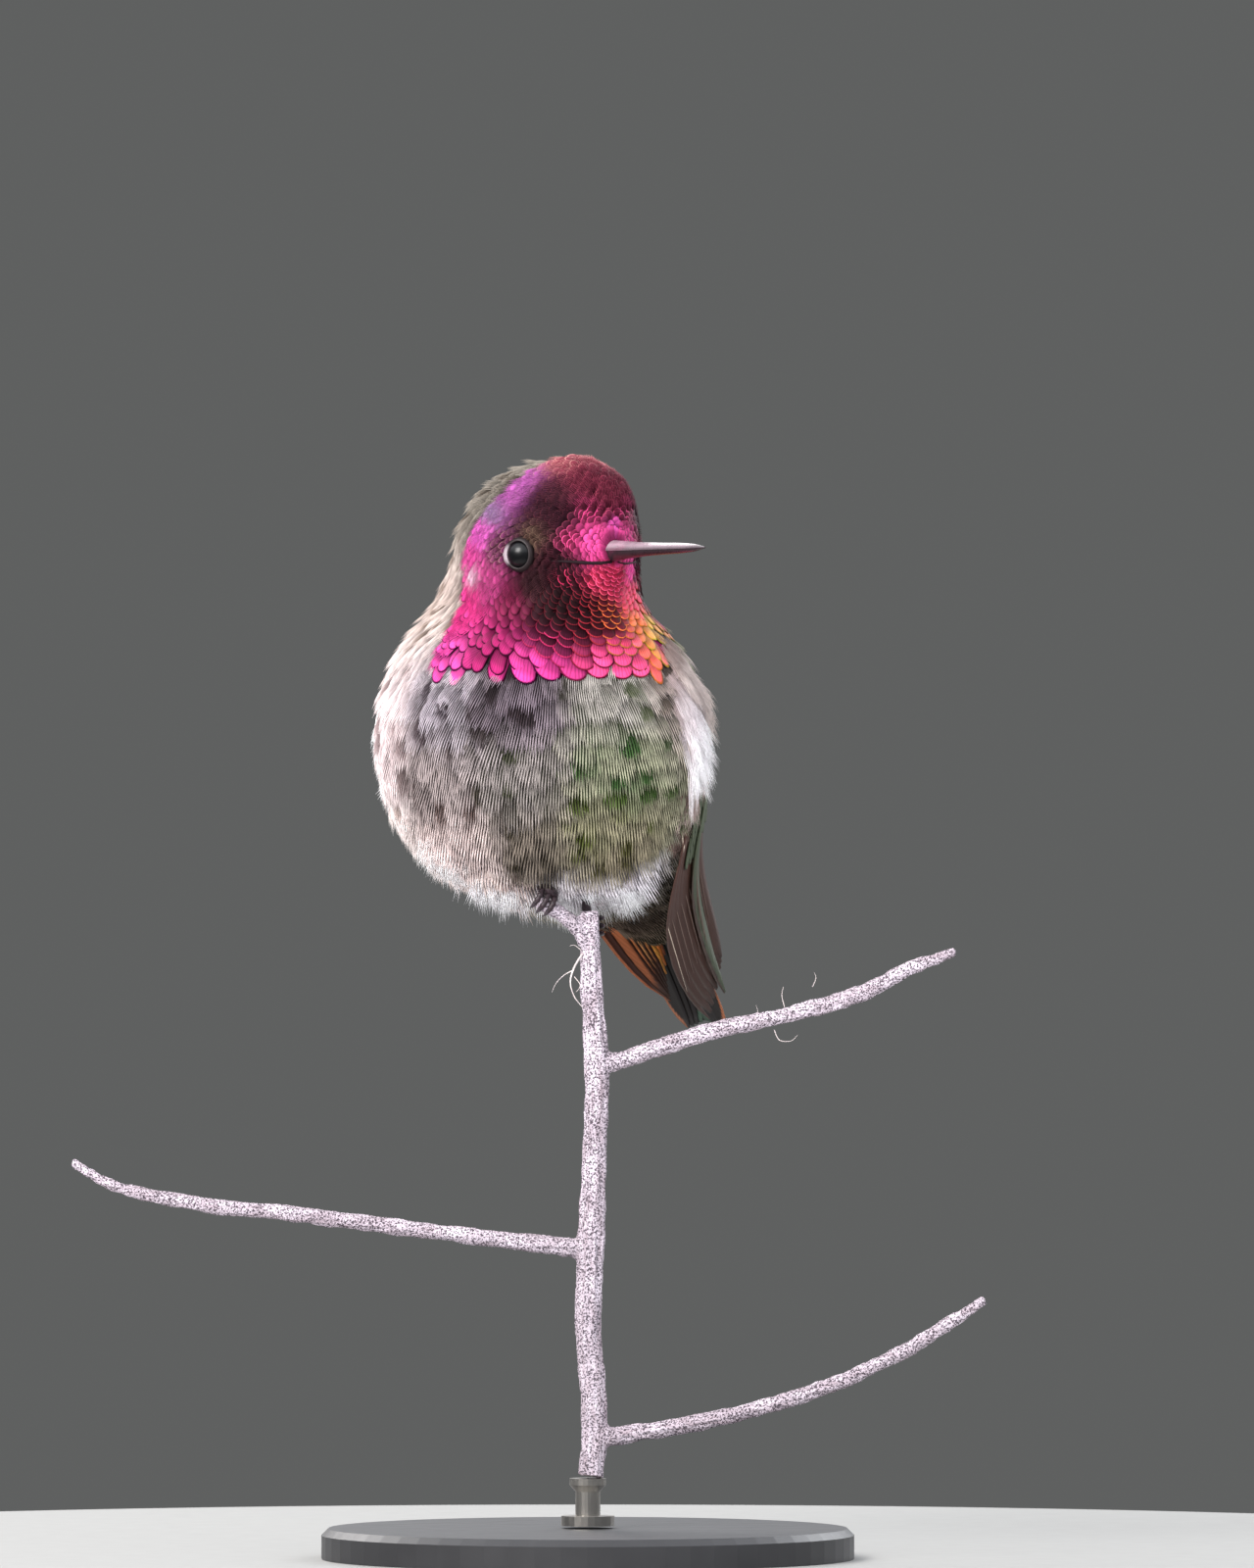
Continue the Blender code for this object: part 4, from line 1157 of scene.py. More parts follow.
def lay(template, along, turn, length, width, low, high, twist=0.0, bend=0.0, flare=0.0):
    """Corner positions of copies of a template laid on the chart, one for each root given.

    low and high are the heights of root and tip over the form; bend curls a copy sideways and flare
    lifts its end.
    """
    x, y, z = (template[0][:, k][None] for k in range(3))
    sizes = (length, width, low, high, twist, bend, flare)
    length, width, low, high, twist, bend, flare = (
        np.broadcast_to(size, along.shape)[:, None] for size in sizes
    )
    across, down = turned_by(twist, x * width + bend * y * y, y * length)
    pace = on_chart(chart_down, along, turn)
    pace = 0.5 * (pace + on_chart(chart_down, along + 0.7 * length[:, 0] / pace, turn))
    far = along[:, None] + down / pace[:, None]
    spread = np.maximum(on_chart(chart_across, far, np.broadcast_to(turn[:, None], far.shape)), 0.6 * MM)
    at = turn[:, None] + across / spread
    height = low + (high - low) * (1 - (1 - np.clip(y, 0, 1)) ** 2) + z * width + flare * y**3
    return dented(on_chart(chart_points, far, at) + on_chart(chart_normals, far, at) * height[..., None])


def bake_roots(along, turn):
    """Where each root lies on the unwrap of the chart."""
    return np.stack([np.mod(turn / (2 * np.pi), 1) * 0.99, along / CHART_STEPS], axis=1)


def eye_distance(points):
    offsets = [np.linalg.norm(points - place, axis=1) for place in eye_places.values()]
    return np.minimum(*offsets)


def gape_distance(points):
    """How far each point is from the line of the gape, on either side."""
    places = mirrored(head_coordinates(points))
    route = np.array(GAPE_ROUTE)
    fine = np.concatenate([np.linspace(a, b, 8) for a, b in zip(route, route[1:])])
    away = np.linalg.norm(places[:, None] - fine[None, :, :3], axis=2) - fine[None, :, 3]
    return away.min(1) * MM


def maths(tree, operation, *values):
    return node(tree, "Math", dict(enumerate(values)), operation=operation).outputs[0]


def feather_paint(name, barbs, slant, gap_shade, rim, bump_depth, roughness, **values):
    """A feather's finish: its face, with its fringe in a rim of a share of its width, both darkened to
    gap_shade between its barbs: painted shade in the grooves, over the darker layers that show there.
    The barbs slant by so many of their own spaces along it."""
    paint, tree = finish_material(name, roughness, **values)
    vane = node(tree, "UVMap", uv_map="vane").outputs[0]
    across, along, _ = node(tree, "SeparateXYZ", {0: vane}).outputs
    half = maths(tree, "ABSOLUTE", across)
    side = maths(tree, "MULTIPLY", half, barbs * 2 * math.pi)
    wave = maths(tree, "SINE", maths(tree, "MULTIPLY_ADD", along, slant * 2 * math.pi, side))
    ridge = scaled(tree, wave, gap_shade, 1.0, -1.0, 0.3)
    end = scaled(tree, along, 0.0, 1.0, SCALE_WAIST, 1.0)
    squares = [maths(tree, "POWER", value, 2.0) for value in (maths(tree, "MULTIPLY", half, 2.0), end)]
    reach = maths(tree, "POWER", maths(tree, "ADD", *squares), 0.5)
    outer = scaled(tree, maths(tree, "MULTIPLY_ADD", wave, 0.02, reach), 0.0, 1.0, 1 - rim, 1 - rim / 2)
    marked = mixed(tree, outer, stored_colours(tree), stored_colours(tree, "fringe"))
    # painted shade: the colour is darkened between the barbs
    toned = mixed(tree, 1.0, marked, ridge, blend_type="MULTIPLY")
    feed(tree, ridge, 0.6, bump_depth, Base_Color=toned)
    return paint


def barb_paint_of(name, roughness, **values):
    """A loose barb's finish: its own markings, slightly mottled."""
    paint, tree = finish_material(name, roughness, **values)
    feed(tree, Base_Color=worn_marks(tree, mottle(tree, 1500.0), 0.86, 1.12))
    return paint


scale_paint = feather_paint(
    "iridescent_scale", 9.0, -1.2, 0.62, 0.2, 0.00003, 0.5, Metallic=0.1, Specular_IOR_Level=0.05
)
down_paint = barb_paint_of("down", 0.8, Specular_IOR_Level=0.15)
scale = scale_template()
fluff = barb_template(6, (0.4, 0.7, 1.0), 0.5)
base = (0.35 + 0.65 * ease(0.5, 0.8, scale[0][:, 1]))[None, :, None]
fluff_along = fluff[0][:, 1][None, :, None]
fluff_base = 0.5 + 0.5 * ease(0.4, 0.8, fluff_along)
scale_rows, fluff_rows = [], []
gorget_part = ease(0.3, -0.3, np.cos(turns))
most = CROWN_MOST + (GORGET_MOST - CROWN_MOST) * gorget_part
least = CROWN_ROOM + (GORGET_ROOM - CROWN_ROOM) * gorget_part
travelled = np.cumsum(chart_down, axis=1)
travelled = np.minimum(travelled / on_chart(travelled, pink_ends, turns)[:, None], 1)
power = (1 + 1.2 * gorget_part)[:, None]
room = least[:, None] + (most - least)[:, None] * travelled**power
rows_to = np.cumsum(chart_down / room, axis=1)
row_total = on_chart(rows_to, pink_ends, turns)
for number in range(int(row_total.max())):
    wanted = row_total - number
    tips = np.array([np.interp(row, rows, np.arange(CHART_STEPS)) for row, rows in zip(wanted, rows_to)])
    shown = on_chart(room, tips, turns)
    shown_steps = shown / on_chart(chart_down, tips, turns)
    spacing = shown * (1.3 + 0.5 * gorget_part)
    turn = places_along(np.maximum(tips - shown_steps, 0), spacing, 0.5 * (number % 2))
    turn = turn[by_line(wanted, turn) > 0.5]
    if not len(turn):
        continue
    count = len(turn)
    last = by_line(wanted / row_total, turn)
    lower = by_line(gorget_part, turn)
    visible, tip = by_line(shown, turn), by_line(tips, turn)
    step_size = on_chart(chart_down, tip, turn)
    middle = on_chart(chart_points, tip - 0.4 * visible / step_size, turn)
    near_eye = eye_distance(middle)
    small = 0.55 + 0.45 * ease(*EYE_SMALL, near_eye)
    out = head_coordinates(middle)[:, 1]
    corner = (0.6 * ease(10.5, 14.5, -out) + ease(4.0, 7.0, out)) * lower * ease(0.4, 0.7, last)
    length = visible * SCALE_LAP * small * random.uniform(0.92, 1.1, count) * (1 + 0.5 * corner)
    width = by_line(spacing, turn) * 1.25 * small * random.uniform(0.94, 1.08, count)
    width = width * (1 - 0.5 * corner)
    tip = tip + random.normal(0.1, 0.22, count) * MM / step_size * last**4 * (1 + 2 * corner)
    start = np.maximum(tip - length / step_size, 0.0)
    keep = (near_eye > EYE_CLEAR) & (gape_distance(middle) > GAPE_CLEAR)
    high = (0.03 + 0.16 * last**3 + random.uniform(-0.04, 0.05, count)) * MM
    low = -(0.25 + 0.3 * last) * MM
    twist = random.normal(0, 0.06, count) * (1 + 2 * corner)
    coords = lay(scale, start, turn, length, width, low, high, twist,
                 flare=random.uniform(0, 0.12 + 0.26 * (lower < 0.5), count) * MM * last)
    face, edge = head_markings(middle)
    tone = random.normal(1, 0.09, (count, 1))
    root = bake_roots(start, turn)
    shades = [(colour * tone)[:, None] * base for colour in (face, edge)]
    scale_rows.append(picked(keep, coords, *shades, root))
    soft = keep & ((lower < 0.5) | (near_eye < SOFT_FACE)) & (last > 0.3)
    reach = 1.15 + 0.25 * random.random(count)
    coords = lay(fluff, start, turn, length * reach, width * 0.95, low, high + 0.05 * MM, twist,
                 random.normal(0, 0.05, count) * MM, random.uniform(0.05, 0.3, count) * MM)
    shade = face[:, None] + (edge - face)[:, None] * ease(0.75, 1.0, fluff_along)
    shade = shade * tone[:, None] * fluff_base
    fluff_rows.append(picked(soft, coords, shade, shade, root))
add_piece("gorget_and_crown_scales", scale, scale_rows, scale_paint, "gorget")
add_piece("crown_barbs", fluff, fluff_rows, down_paint, "gorget")


# The body feathers ---------------------------------------------------------------------------------
# Soft contour feathers in even rows from the gorget to the tail. Each has a dark, loosely knit vane,
# darkened further as painted shade in the gaps between its barbs, and a fringe of long pale barbs
# lying over it, whose ends break the outline.

BODY_ROWS = 34
BODY_END = CHART_STEPS - 8  # the step where one more row would start
BODY_LAP = 3.0  # length of a feather over what shows of it
BODY_SHOWN = 0.8 * BODY_LAP  # from a root to where its feather's place is judged, in the same way
BODY_TUCK = 4.4 * MM  # how far the first row starts under the gorget
BODY_PITCH = 1.9 * MM  # between feathers along a row
BODY_WIDTH = 2.95 * MM
WING_CLEAR, WING_DEEP = 0.35 * MM, 1.5 * MM  # feathers stay this far off a wing, or this far inside it
COVERTS_END = -12  # where the left wing's coverts end, in mm forward of the body's centre
TUCK_SINK, TUCK_OVER = 0.45 * MM, (3.2 * MM, 0.6 * MM)  # how tips sink as they near the gorget's edge
BARBS = 9
NAPE_SIZE = 0.6
SPOTTED = 0.16  # share of the feathers whose disc shows

vane_paint = feather_paint("body_vane", 8.0, 0.0, 0.5, 0.1, 0.00005, 0.7, Specular_IOR_Level=0.25)
wing_trees = []
for name in ("wing_left", "wing_right"):
    bm = merged(name)
    wing_trees.append(BVHTree.FromBMesh(bm))
    bm.free()


def clear_of_wings(points):
    """Whether each point is outside the wings, deep under them, or behind the left one's coverts, where
    the flight feathers stand off the body."""
    found = np.ones(len(points), bool)
    forward, left, _ = body_coordinates(points).T
    free = (forward < COVERTS_END) & (left > 0)
    for tree in wing_trees:
        for k, point in enumerate(points):
            if free[k]:
                continue
            place, normal, _, away = tree.find_nearest(point)
            if away < (WING_DEEP if (Vector(point) - place).dot(normal) < 0 else WING_CLEAR):
                found[k] = False
    return found


comb = barb_template(BARBS, (0.4, 0.62, 0.82, 1.0), 0.66)
comb_along = comb[0][:, 1][None, :, None]
barb_rows, vane_rows = [], []
remaining = BODY_END - pink_ends
for k in range(BODY_ROWS):
    row = np.maximum(pink_ends - BODY_TUCK / on_chart(chart_down, pink_ends, turns), 0)
    row = row + (BODY_END - row) * (k / BODY_ROWS)
    shown = remaining / BODY_ROWS * on_chart(chart_down, row, turns)
    start_points = on_chart(chart_points, row, turns)
    size = NAPE_SIZE + (1 - NAPE_SIZE) * ease(8, -3, (start_points[:, 2] - neck_low) / MM)
    tip_row = row + BODY_SHOWN * remaining / BODY_ROWS
    turn = places_along(tip_row, BODY_PITCH * size, 0.5 * (k % 2))
    spread = np.maximum(on_chart(chart_across, by_line(tip_row, turn), turn), 1 * MM)
    turn = turn + random.normal(0, 0.08, len(turn)) * BODY_PITCH / spread
    count = len(turn)
    size = by_line(size, turn)
    pace = on_chart(chart_down, by_line(row, turn), turn)
    visible = by_line(shown, turn)
    along = np.maximum(by_line(row, turn) + random.normal(0, 0.1, count) * visible / pace, 0)
    tip = along + BODY_SHOWN * visible / pace
    middle, facing = on_chart(chart_points, tip, turn), on_chart(chart_normals, tip, turn)
    under = ease(-0.25, -0.75, facing[:, 2]) * ease(-14, -6, body_coordinates(middle)[:, 0])
    length = np.maximum(visible, 1.2 * MM) * BODY_LAP * random.uniform(0.92, 1.12, count)
    length = length * (0.55 + 0.45 * size)
    width = BODY_WIDTH * size * random.uniform(0.94, 1.08, count)
    keep = clear_of_wings(middle)
    twist, bend = random.normal(0, 0.05, count), random.normal(0, 0.12, count) * MM
    low = -(0.35 + 0.8 * ease(6, -3, (middle[:, 2] - neck_low) / MM)) * MM
    beyond = (along - by_line(pink_ends, turn)) * pace + 0.8 * length
    sunk = TUCK_SINK * ease(*TUCK_OVER, beyond)
    high = random.uniform(-0.1, 0.1, count) * MM - sunk
    flare = (0.05 + 0.75 * random.random(count) ** 2 + 1.1 * under * random.uniform(0.6, 1.2, count)) * MM
    face, edge = body_markings(middle)
    spot = np.clip(random.normal(0.15, 0.3, (count, 1)), 0, 0.6)
    spot = spot + (1 - spot) * (random.random((count, 1)) < SPOTTED)
    disc = face + (edge * 0.8 - face) * spot
    tone = random.normal(1, 0.05, (count, 1))
    shade = disc[:, None] + (face - disc)[:, None] * ease(0.82, 1.0, comb_along)
    shade = shade * tone[:, None] * (0.4 + 0.7 * ease(0.45, 0.95, comb_along))
    root = bake_roots(along, turn)
    coords = lay(comb, along, turn, length, width, low, high + 0.08 * MM, twist, bend, flare)
    barb_rows.append(picked(keep, coords, shade, shade, root))
    coords = lay(scale, along, turn, length * 0.92, width, low, high, twist, bend)
    # vanes at 0.42 of their colour: partly their own dark tone, partly painted shade in the gaps between the
    # barbs
    shade = np.broadcast_to((edge * tone * 0.42)[:, None], coords.shape)
    vane_rows.append(picked(keep, coords, shade, shade * 1.5, root))
add_piece("body_barbs", comb, barb_rows, down_paint, "plumage")
add_piece("body_vanes", scale, vane_rows, vane_paint, "plumage")


# The flank tufts -----------------------------------------------------------------------------------
# Long loose plumes where the left wing is tucked in: hairy grey-brown ones from under the gorget's
# end over the shoulder, a smooth white tuft in front of the wrist, and brown wisps below it.

PLUMES = (
    # middle of the roots (forward, left, up on the body), spread, count, length, height, most flare (mm),
    # root and tip
    ((0.8, 17.0, 11.0), (1.8, 1.8, 2.6), 60, 7.0, 0.5, 0.8, (124, 106, 102), (220, 206, 202)),
    ((-2.6, 18.0, 8.0), (2.0, 1.6, 3.4), 60, 7.0, 0.4, 1.4, (130, 112, 106), (222, 208, 202)),
    ((2.6, 19.0, 6.6), (1.4, 1.2, 3.0), 40, 6.5, 0.5, 1.0, (160, 142, 142), (244, 234, 238)),
    ((1.4, 19.6, 3.8), (1.6, 1.0, 2.8), 60, 7.0, 0.7, 1.6, (206, 190, 194), (255, 252, 255)),
    ((0.2, 20.0, 0.8), (1.6, 0.8, 2.6), 54, 6.4, 0.7, 1.6, (206, 190, 194), (255, 252, 255)),
    ((-1.4, 19.6, -2.8), (1.6, 1.0, 2.6), 50, 6.5, 0.5, 1.0, (96, 74, 68), (196, 176, 170)),
    ((-3.0, 17.4, -8.0), (1.6, 1.0, 2.4), 40, 6.5, 0.4, 0.6, (70, 52, 46), (150, 126, 118)),
    ((3.6, 5.0, -17.6), (3.4, 3.4, 0.8), 110, 3.6, 0.4, 2.8, (240, 230, 238), (255, 254, 255)),
    ((-0.6, 9.6, -16.6), (2.6, 2.4, 1.0), 80, 3.4, 0.4, 2.6, (240, 230, 238), (255, 254, 255)),
    ((9.4, -2.0, -16.4), (3.4, 3.8, 0.8), 90, 3.6, 0.3, 2.8, (238, 226, 230), (255, 252, 255)),
    ((13.2, -7.6, -12.6), (2.4, 3.0, 2.6), 80, 3.4, 0.2, 2.0, (234, 218, 220), (255, 250, 250)),
    ((10.0, -15.6, -4.0), (4.0, 4.0, 9.0), 110, 3.4, 0.0, 1.0, (240, 226, 226), (255, 250, 250)),
)

plume = barb_template(5, (0.05, 0.4, 0.75, 1.0), 0.34)
plume_share = ease(0.2, 0.95, plume[0][:, 1])[None, :, None]
rows = []
flat_points = chart_points.reshape(-1, 3)
for middle, spread, count, length, height, flare, root_colour, tip_colour in PLUMES:
    places = np.array([body_place(*row) for row in random.normal(middle, np.array(spread) / 2, (count, 3))])
    nearest = np.array([((flat_points - place) ** 2).sum(1).argmin() for place in places])
    turn, along = turns[nearest // CHART_STEPS], (nearest % CHART_STEPS).astype(float)
    coords = lay(
        plume, along, turn, length * MM * random.uniform(0.75, 1.15, count),
        random.uniform(0.9, 1.5, count) * MM, 0.1 * MM,
        (height + random.uniform(-0.25, 0.25, count)) * MM, random.normal(0, 0.1, count),
        random.normal(0, 0.6, count) * MM, flare * random.uniform(0.1, 1.0, count) * MM,
    )
    tone = random.normal(1, 0.11, (count, 1, 1))
    shade = between(srgb(*root_colour), srgb(*tip_colour), plume_share) * tone
    rows.append((coords, shade, shade, bake_roots(along, turn)))
add_piece("flank_plumes", plume, rows, down_paint, "plumage")


# The wings -----------------------------------------------------------------------------------------
# Folded along the flanks: ten narrow primaries slid over each other with the outermost along the
# lower edge, a short stack of secondaries, and rows of small coverts over their roots at the wrist.
# Dusky brown outside. Inside, the right wing's vanes are painted a rufous glow for the light that
# comes through them.

PRIMARIES, PRIMARY_WIDTH = 10, 3.1 * MM
SECONDARIES, SECONDARY_WIDTH = 6, 2.3 * MM
COVERT_ROWS, COVERTS = 6, 7  # coverts in a row
COVERT_START, COVERT_PITCH, COVERT_LENGTH = 0.33, 0.058, 0.16  # of the wing's length, from its root
COVERT_WIDTH = 2.2 * MM
FLIGHT_THICKNESS = 0.09 * MM
SHAFT_RADIUS = 0.13 * MM
WING_DUSK, WING_EDGE = srgb(78, 52, 44), srgb(74, 58, 52)
WING_SHAFT, WING_QUILL = srgb(130, 108, 98), srgb(224, 206, 186)  # the second is the outermost's
WING_INSIDE_PAINTED_GLOW = (
    # of the right wing's primaries, from the innermost outwards; a painted glow of the light coming through
    # them
    (70, 54, 44), (84, 58, 44), (190, 104, 60), (255, 150, 72), (255, 176, 84),
    (255, 172, 100), (255, 184, 118), (240, 150, 94), (186, 110, 72), (72, 42, 34),
)
# the right wing's outermost edge, painted with the same glow of light through the vanes; then a green
WING_EDGE_PAINTED_GLOW, WING_GREEN = srgb(150, 84, 54), srgb(84, 92, 72)
WING_LINE = 5  # the primary with a dark edge between the two rufous bands
WING_SPREAD = 3.3 * MM  # of the left wing's outermost primary
WING_SECTIONS = 26
BLADE_ENDS = (0.02, 0.985)  # where along its solid a blade starts and ends
WING_ROUTES = {
    # share of the wing's length, how far it lies in and forward of the solid's middle, and its roll
    "left": (
        (0.0, 0.0, 0.0, 0), (0.25, 0.2, 3.0, 6), (0.5, 0.8, 9.0, 16), (0.75, 0.4, 6.0, 34),
        (1.0, -0.4, 1.0, 40),
    ),
    "right": (
        (0.0, 0.0, 0.0, 0), (0.45, 0.0, 1.0, 0), (0.7, 0.0, 5.0, 0), (0.85, 0.0, 6.2, 0),
        (1.0, 0.0, 6.0, 0),
    ),
}


def flight_template():
    """A long narrow vane with a rounded tip: x across, y from root to tip, z out (-0.5 or 0.5)."""
    bm = bmesh.new()
    bmesh.ops.create_grid(bm, x_segments=4, y_segments=15, size=0.5)
    for vert in bm.verts:
        across, along = vert.co.x, vert.co.y + 0.5
        full = 0.42 + 0.58 * math.sin(min(1, along / 0.4) * math.pi / 2)
        tip = math.sqrt(max(0.0, 1 - (max(0.0, along - 0.55) / 0.455) ** 2.6))
        vert.co = (across * full * tip, along, 0)
    bmesh.ops.solidify(bm, geom=bm.faces, thickness=1.0)
    bmesh.ops.recalc_face_normals(bm, faces=bm.faces)
    heights = [vert.co.z for vert in bm.verts]
    middle = (min(heights) + max(heights)) / 2
    for vert in bm.verts:
        vert.co.z = 0.5 if vert.co.z > middle else -0.5
    return template_arrays(bm)


def shaft_template():
    """A tapered four-sided quill from root to tip."""
    rings = []
    for along in (0.0, 0.3, 0.6, 0.85, 0.985):
        half = 1 - 0.85 * along
        rings.append([Vector((x * half, along, z * half)) for x, z in ((1, 0), (0, 1), (-1, 0), (0, -1))])
    return template_arrays(lofted(rings))


def sections(name, start, end, count):
    """(middle, half width, width direction) of a CAD node at even cuts from start to end."""
    mesh = nodes[name].data
    mesh.calc_loop_triangles()
    corners = np.array([tri.vertices[:] for tri in mesh.loop_triangles])
    points = read_points(mesh)[corners]
    along = (end - start) / np.linalg.norm(end - start)
    found = []
    for share in np.linspace(0, 1, count):
        level = (points - (start + (end - start) * share)) @ along
        cut = []
        for a, b in ((0, 1), (1, 2), (2, 0)):
            crossing = level[:, a] * level[:, b] < 0
            blend = level[crossing, a] / (level[crossing, a] - level[crossing, b])
            first, second = points[crossing, a], points[crossing, b]
            cut.append(first + (second - first) * blend[:, None])
        cut = np.concatenate(cut)
        if len(cut) < 6:
            continue
        middle = (cut.min(0) + cut.max(0)) / 2
        _, _, turn = np.linalg.svd(cut - cut.mean(0), full_matrices=False)
        spans = [(cut - middle) @ direction for direction in turn[:2]]
        middle = middle + sum(
            direction * (span.max() + span.min()) / 2 for direction, span in zip(turn[:2], spans)
        )
        found.append((middle, (spans[0].max() - spans[0].min()) / 2, turn[0]))
    return found


def blade_of(name, outward, route=()):
    """(middle, half width, across, out) at even shares of a CAD blade, with out on the side given."""
    points = read_points(nodes[name].data)
    down = points @ (-body_ahead + np.array((0, 0, -1)))
    root, tip = points[down.argmin()], points[down.argmax()]
    root, tip = (root + (tip - root) * share for share in BLADE_ENDS)
    middles, halves, across = (np.array(values) for values in zip(*sections(name, root, tip, WING_SECTIONS)))
    along = np.gradient(middles, axis=0)
    along /= np.linalg.norm(along, axis=1)[:, None]
    across *= np.sign(across[:, 2:] + 1e-9)
    for k in range(1, len(across)):
        if across[k] @ across[k - 1] < 0:
            across[k] *= -1
    for _ in range(3):
        across[1:-1] = (across[:-2] + 2 * across[1:-1] + across[2:]) / 4
    out = np.cross(along, across)
    out /= np.linalg.norm(out, axis=1)[:, None]
    if (out @ outward).mean() < 0:
        out = -out
    if route:
        places, *amounts = np.array(route).T
        shares = np.linspace(0, 1, len(middles))
        inset, forward, roll = (
            np.array([[smoothly(share, tuple(zip(places, values)))] for share in shares])
            for values in amounts
        )
        middles = middles - out * inset * MM - (0, 1, 0) * forward * MM
        across, out = turned_by(np.radians(roll), across, out)
    return middles, halves, across, out


def on_blade(blade, share, across, out):
    """Points at shares along a blade, a length to its side and a length out of it."""
    middles, halves, side, outward = blade
    place = np.clip(share, 0, 1) * (len(middles) - 1)
    low = np.minimum(place.astype(int), len(middles) - 2)
    blend = (place - low)[..., None]
    found = [values[low] * (1 - blend) + values[low + 1] * blend for values in (middles, side, outward)]
    return found[0] + found[1] * across[..., None] + found[2] * out[..., None]


def blade_half(blade, share):
    return np.interp(share, np.linspace(0, 1, len(blade[1])), blade[1])


def feather_line(blade, y, start, end, sides, spread):
    """At shares of a feather: the share of its blade, half the blade's width, and its place across."""
    share = start + (end - start) * y
    half = blade_half(blade, share)
    return share, half, (sides[0] + (sides[1] - sides[0]) * y) * half - spread * ease(0.1, 0.5, y)


def flight_feathers(name, blade, feathers, replaced):
    """Lays vanes and shafts on a blade. A feather is (start, end, side at root and tip, spread, width,
    lift, colour, edge colour, inside colour, shaft colour). Sides are shares of the blade's half width,
    and spread is a length, which moves all but its root further out."""
    vane, shaft = flight_template(), shaft_template()
    vanes, shafts = [], []
    for k, (start, end, *sides, spread, width, lift, colour, edge, inside, quill) in enumerate(feathers):
        root = np.array([(0.2 + 0.6 * k / len(feathers), 0.9)])
        x, y, z = vane[0].T
        share, half, middle = feather_line(blade, y, start, end, sides, spread)
        across = middle + x * width * np.minimum(1, half / (0.5 * width) + 0.25)
        out = lift * (1 - 0.5 * y) + z * FLIGHT_THICKNESS - 0.1 * MM * (2 * x) ** 2
        fade = 1.3 - 0.7 * y[:, None]
        shade = np.where(z[:, None] < 0, np.array(inside) * fade, np.array(colour) * fade)
        late = (ease(0.62, 0.85, y) * (x * sides[1] > 0))[:, None]
        rim = np.array(colour) * 0.8 + (np.array(edge) - np.array(colour) * 0.8) * late
        vanes.append((on_blade(blade, share, across, out)[None], shade[None], rim[None], root))
        x, y, z = shaft[0].T
        share, _, middle = feather_line(blade, y, start, end, sides, spread)
        across = middle + x * SHAFT_RADIUS - 0.1 * width
        coords = on_blade(blade, share, across, lift * (1 - 0.5 * y) + z * SHAFT_RADIUS)
        shade = (np.array(quill)[None] * (1 - 0.4 * y[:, None]))[None]
        shafts.append((coords[None], shade, shade, root))
    add_piece(f"{name}_vanes", vane, vanes, flight_paint, "flight_feathers", *replaced)
    add_piece(f"{name}_shafts", shaft, shafts, quill_paint, "flight_feathers")


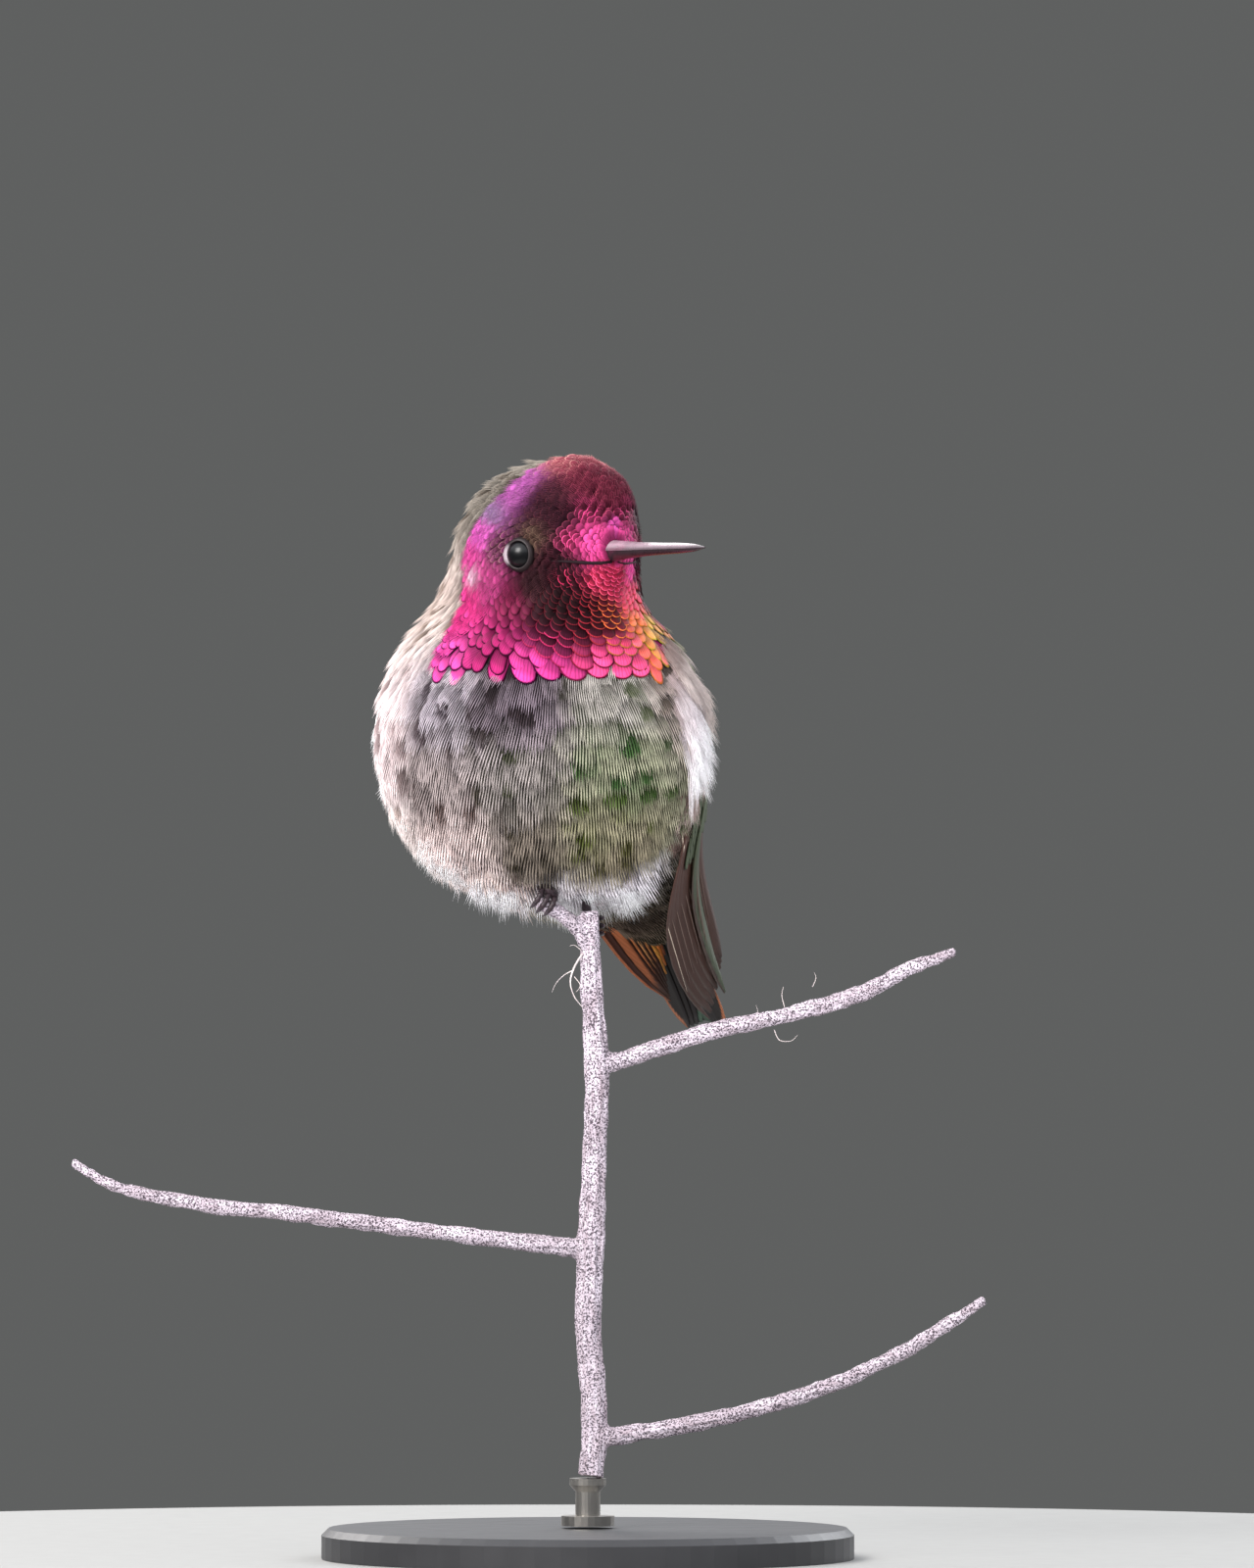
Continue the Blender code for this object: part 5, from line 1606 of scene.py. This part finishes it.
flight_paint = feather_paint("flight_vane", -7.0, 26.0, 0.8, 0.2, 0.00003, 0.5, Specular_IOR_Level=0.4)
quill_paint = barb_paint_of("quill", 0.35, Specular_IOR_Level=0.5)
for side, sign in (("left", 1), ("right", -1)):
    blade = blade_of(f"wing_{side}", body_left * sign, WING_ROUTES[side])
    feathers = []
    for k in range(PRIMARIES):
        outer = k / (PRIMARIES - 1)
        lower = 0.9 - 1.8 * outer
        # the right wing's inside is painted with this glow, for the light coming through its vanes
        glow = np.array(srgb(*WING_INSIDE_PAINTED_GLOW[k]))
        if side == "left":
            sides = (0.25 - 1.5 * outer, lower * (1.1 if outer > 0.5 else 0.35), WING_SPREAD * outer**1.5)
            finish = (WING_DUSK, WING_EDGE, WING_DUSK, WING_QUILL if k == PRIMARIES - 1 else WING_SHAFT)
            reach = 0.88 + 0.11 * outer
        else:
            sides = (0.25 - 0.6 * outer, lower * 0.95, 0)
            edge = WING_EDGE_PAINTED_GLOW if k == PRIMARIES - 1 else glow * (0.25 if k == WING_LINE else 0.6)
            finish = (WING_DUSK, edge, glow, WING_SHAFT if k == 0 else glow * 0.7)
            reach = 0.7 + 0.29 * outer**0.3
        width = PRIMARY_WIDTH * (0.95 if k < PRIMARIES - 1 else 0.34)
        lift = (0.55 - 0.75 * outer) * MM
        feathers.append((0.02 + 0.06 * (1 - outer), reach, *sides, width, lift, *finish))
    for k in range(SECONDARIES):
        inner = k / (SECONDARIES - 1)
        feathers.append((
            0.04, 0.97 - 0.3 * inner, 0.35, -0.4, 0, SECONDARY_WIDTH, (0.7 + 0.1 * k) * MM,
            WING_GREEN, WING_EDGE, WING_GREEN, WING_SHAFT,
        ))
    flight_feathers(f"wing_{side}", blade, feathers, [f"wing_{side}"])

    rows = []
    for row in range(COVERT_ROWS):
        across = np.linspace(-0.85, 0.85, COVERTS) + 0.12 * (row % 2)
        x, y, z = scale[0].T
        along = COVERT_START - COVERT_PITCH * row + (y * COVERT_LENGTH)[None]
        shares = along - 0.03 * np.abs(across)[:, None]
        sides = across[:, None] * blade_half(blade, shares) + (x * COVERT_WIDTH)[None]
        lifts = (0.45 + 0.09 * row + 0.15 * y)[None] * MM * (1 - 0.35 * across[:, None] ** 2)
        coords = on_blade(blade, shares, sides, lifts + (z * 2 * MM)[None])
        tone = np.array(WING_GREEN) * (0.6 + 0.5 * y[:, None])
        shade = np.broadcast_to(tone, (COVERTS, *tone.shape)) * random.normal(1, 0.06, (COVERTS, 1, 1))
        root = np.stack([0.5 + 0.1 * across, np.full(COVERTS, 0.85 - 0.01 * row)], axis=1)
        rows.append((coords, shade, shade * 0.5, root))
    add_piece(f"wing_{side}_coverts", scale, rows, vane_paint, "flight_feathers")


# The tail ------------------------------------------------------------------------------------------
# Ten straight feathers, closed over each other with the middle pair on top and shortest, so that the
# end is shallowly forked. Dark, with a worn rufous edge to the outer ones.

RECTRICES, RECTRIX_WIDTH = 10, 3.3 * MM
TAIL_DARK, TAIL_GREEN, TAIL_INSIDE = srgb(27, 20, 22), srgb(66, 92, 74), srgb(26, 19, 18)
TAIL_EDGE, TAIL_SHAFT = srgb(156, 96, 66), srgb(84, 70, 64)

blade = blade_of("tail", np.array((0, 0, 1.0)) - body_ahead)
feathers = []
for k in range(RECTRICES):
    side = -1 if k % 2 else 1
    outer = (k // 2) / (RECTRICES // 2 - 1)
    tip_side = 0.08 * side + outer * (0.45 if side > 0 else -0.6)
    spread = outer * (-1.5 if side > 0 else 0.4) * MM
    lift = (0.35 - 0.65 * outer + 0.04 * side) * MM
    colours = (TAIL_GREEN if outer < 0.3 else TAIL_DARK, TAIL_EDGE if outer == 1 else TAIL_DARK)
    feathers.append((
        0.0, 0.955 + 0.04 * outer, side * 0.1 * outer, tip_side, spread,
        RECTRIX_WIDTH * (1 - 0.22 * outer), lift, *colours, TAIL_INSIDE, TAIL_SHAFT,
    ))
flight_feathers("tail", blade, feathers, ["tail"])
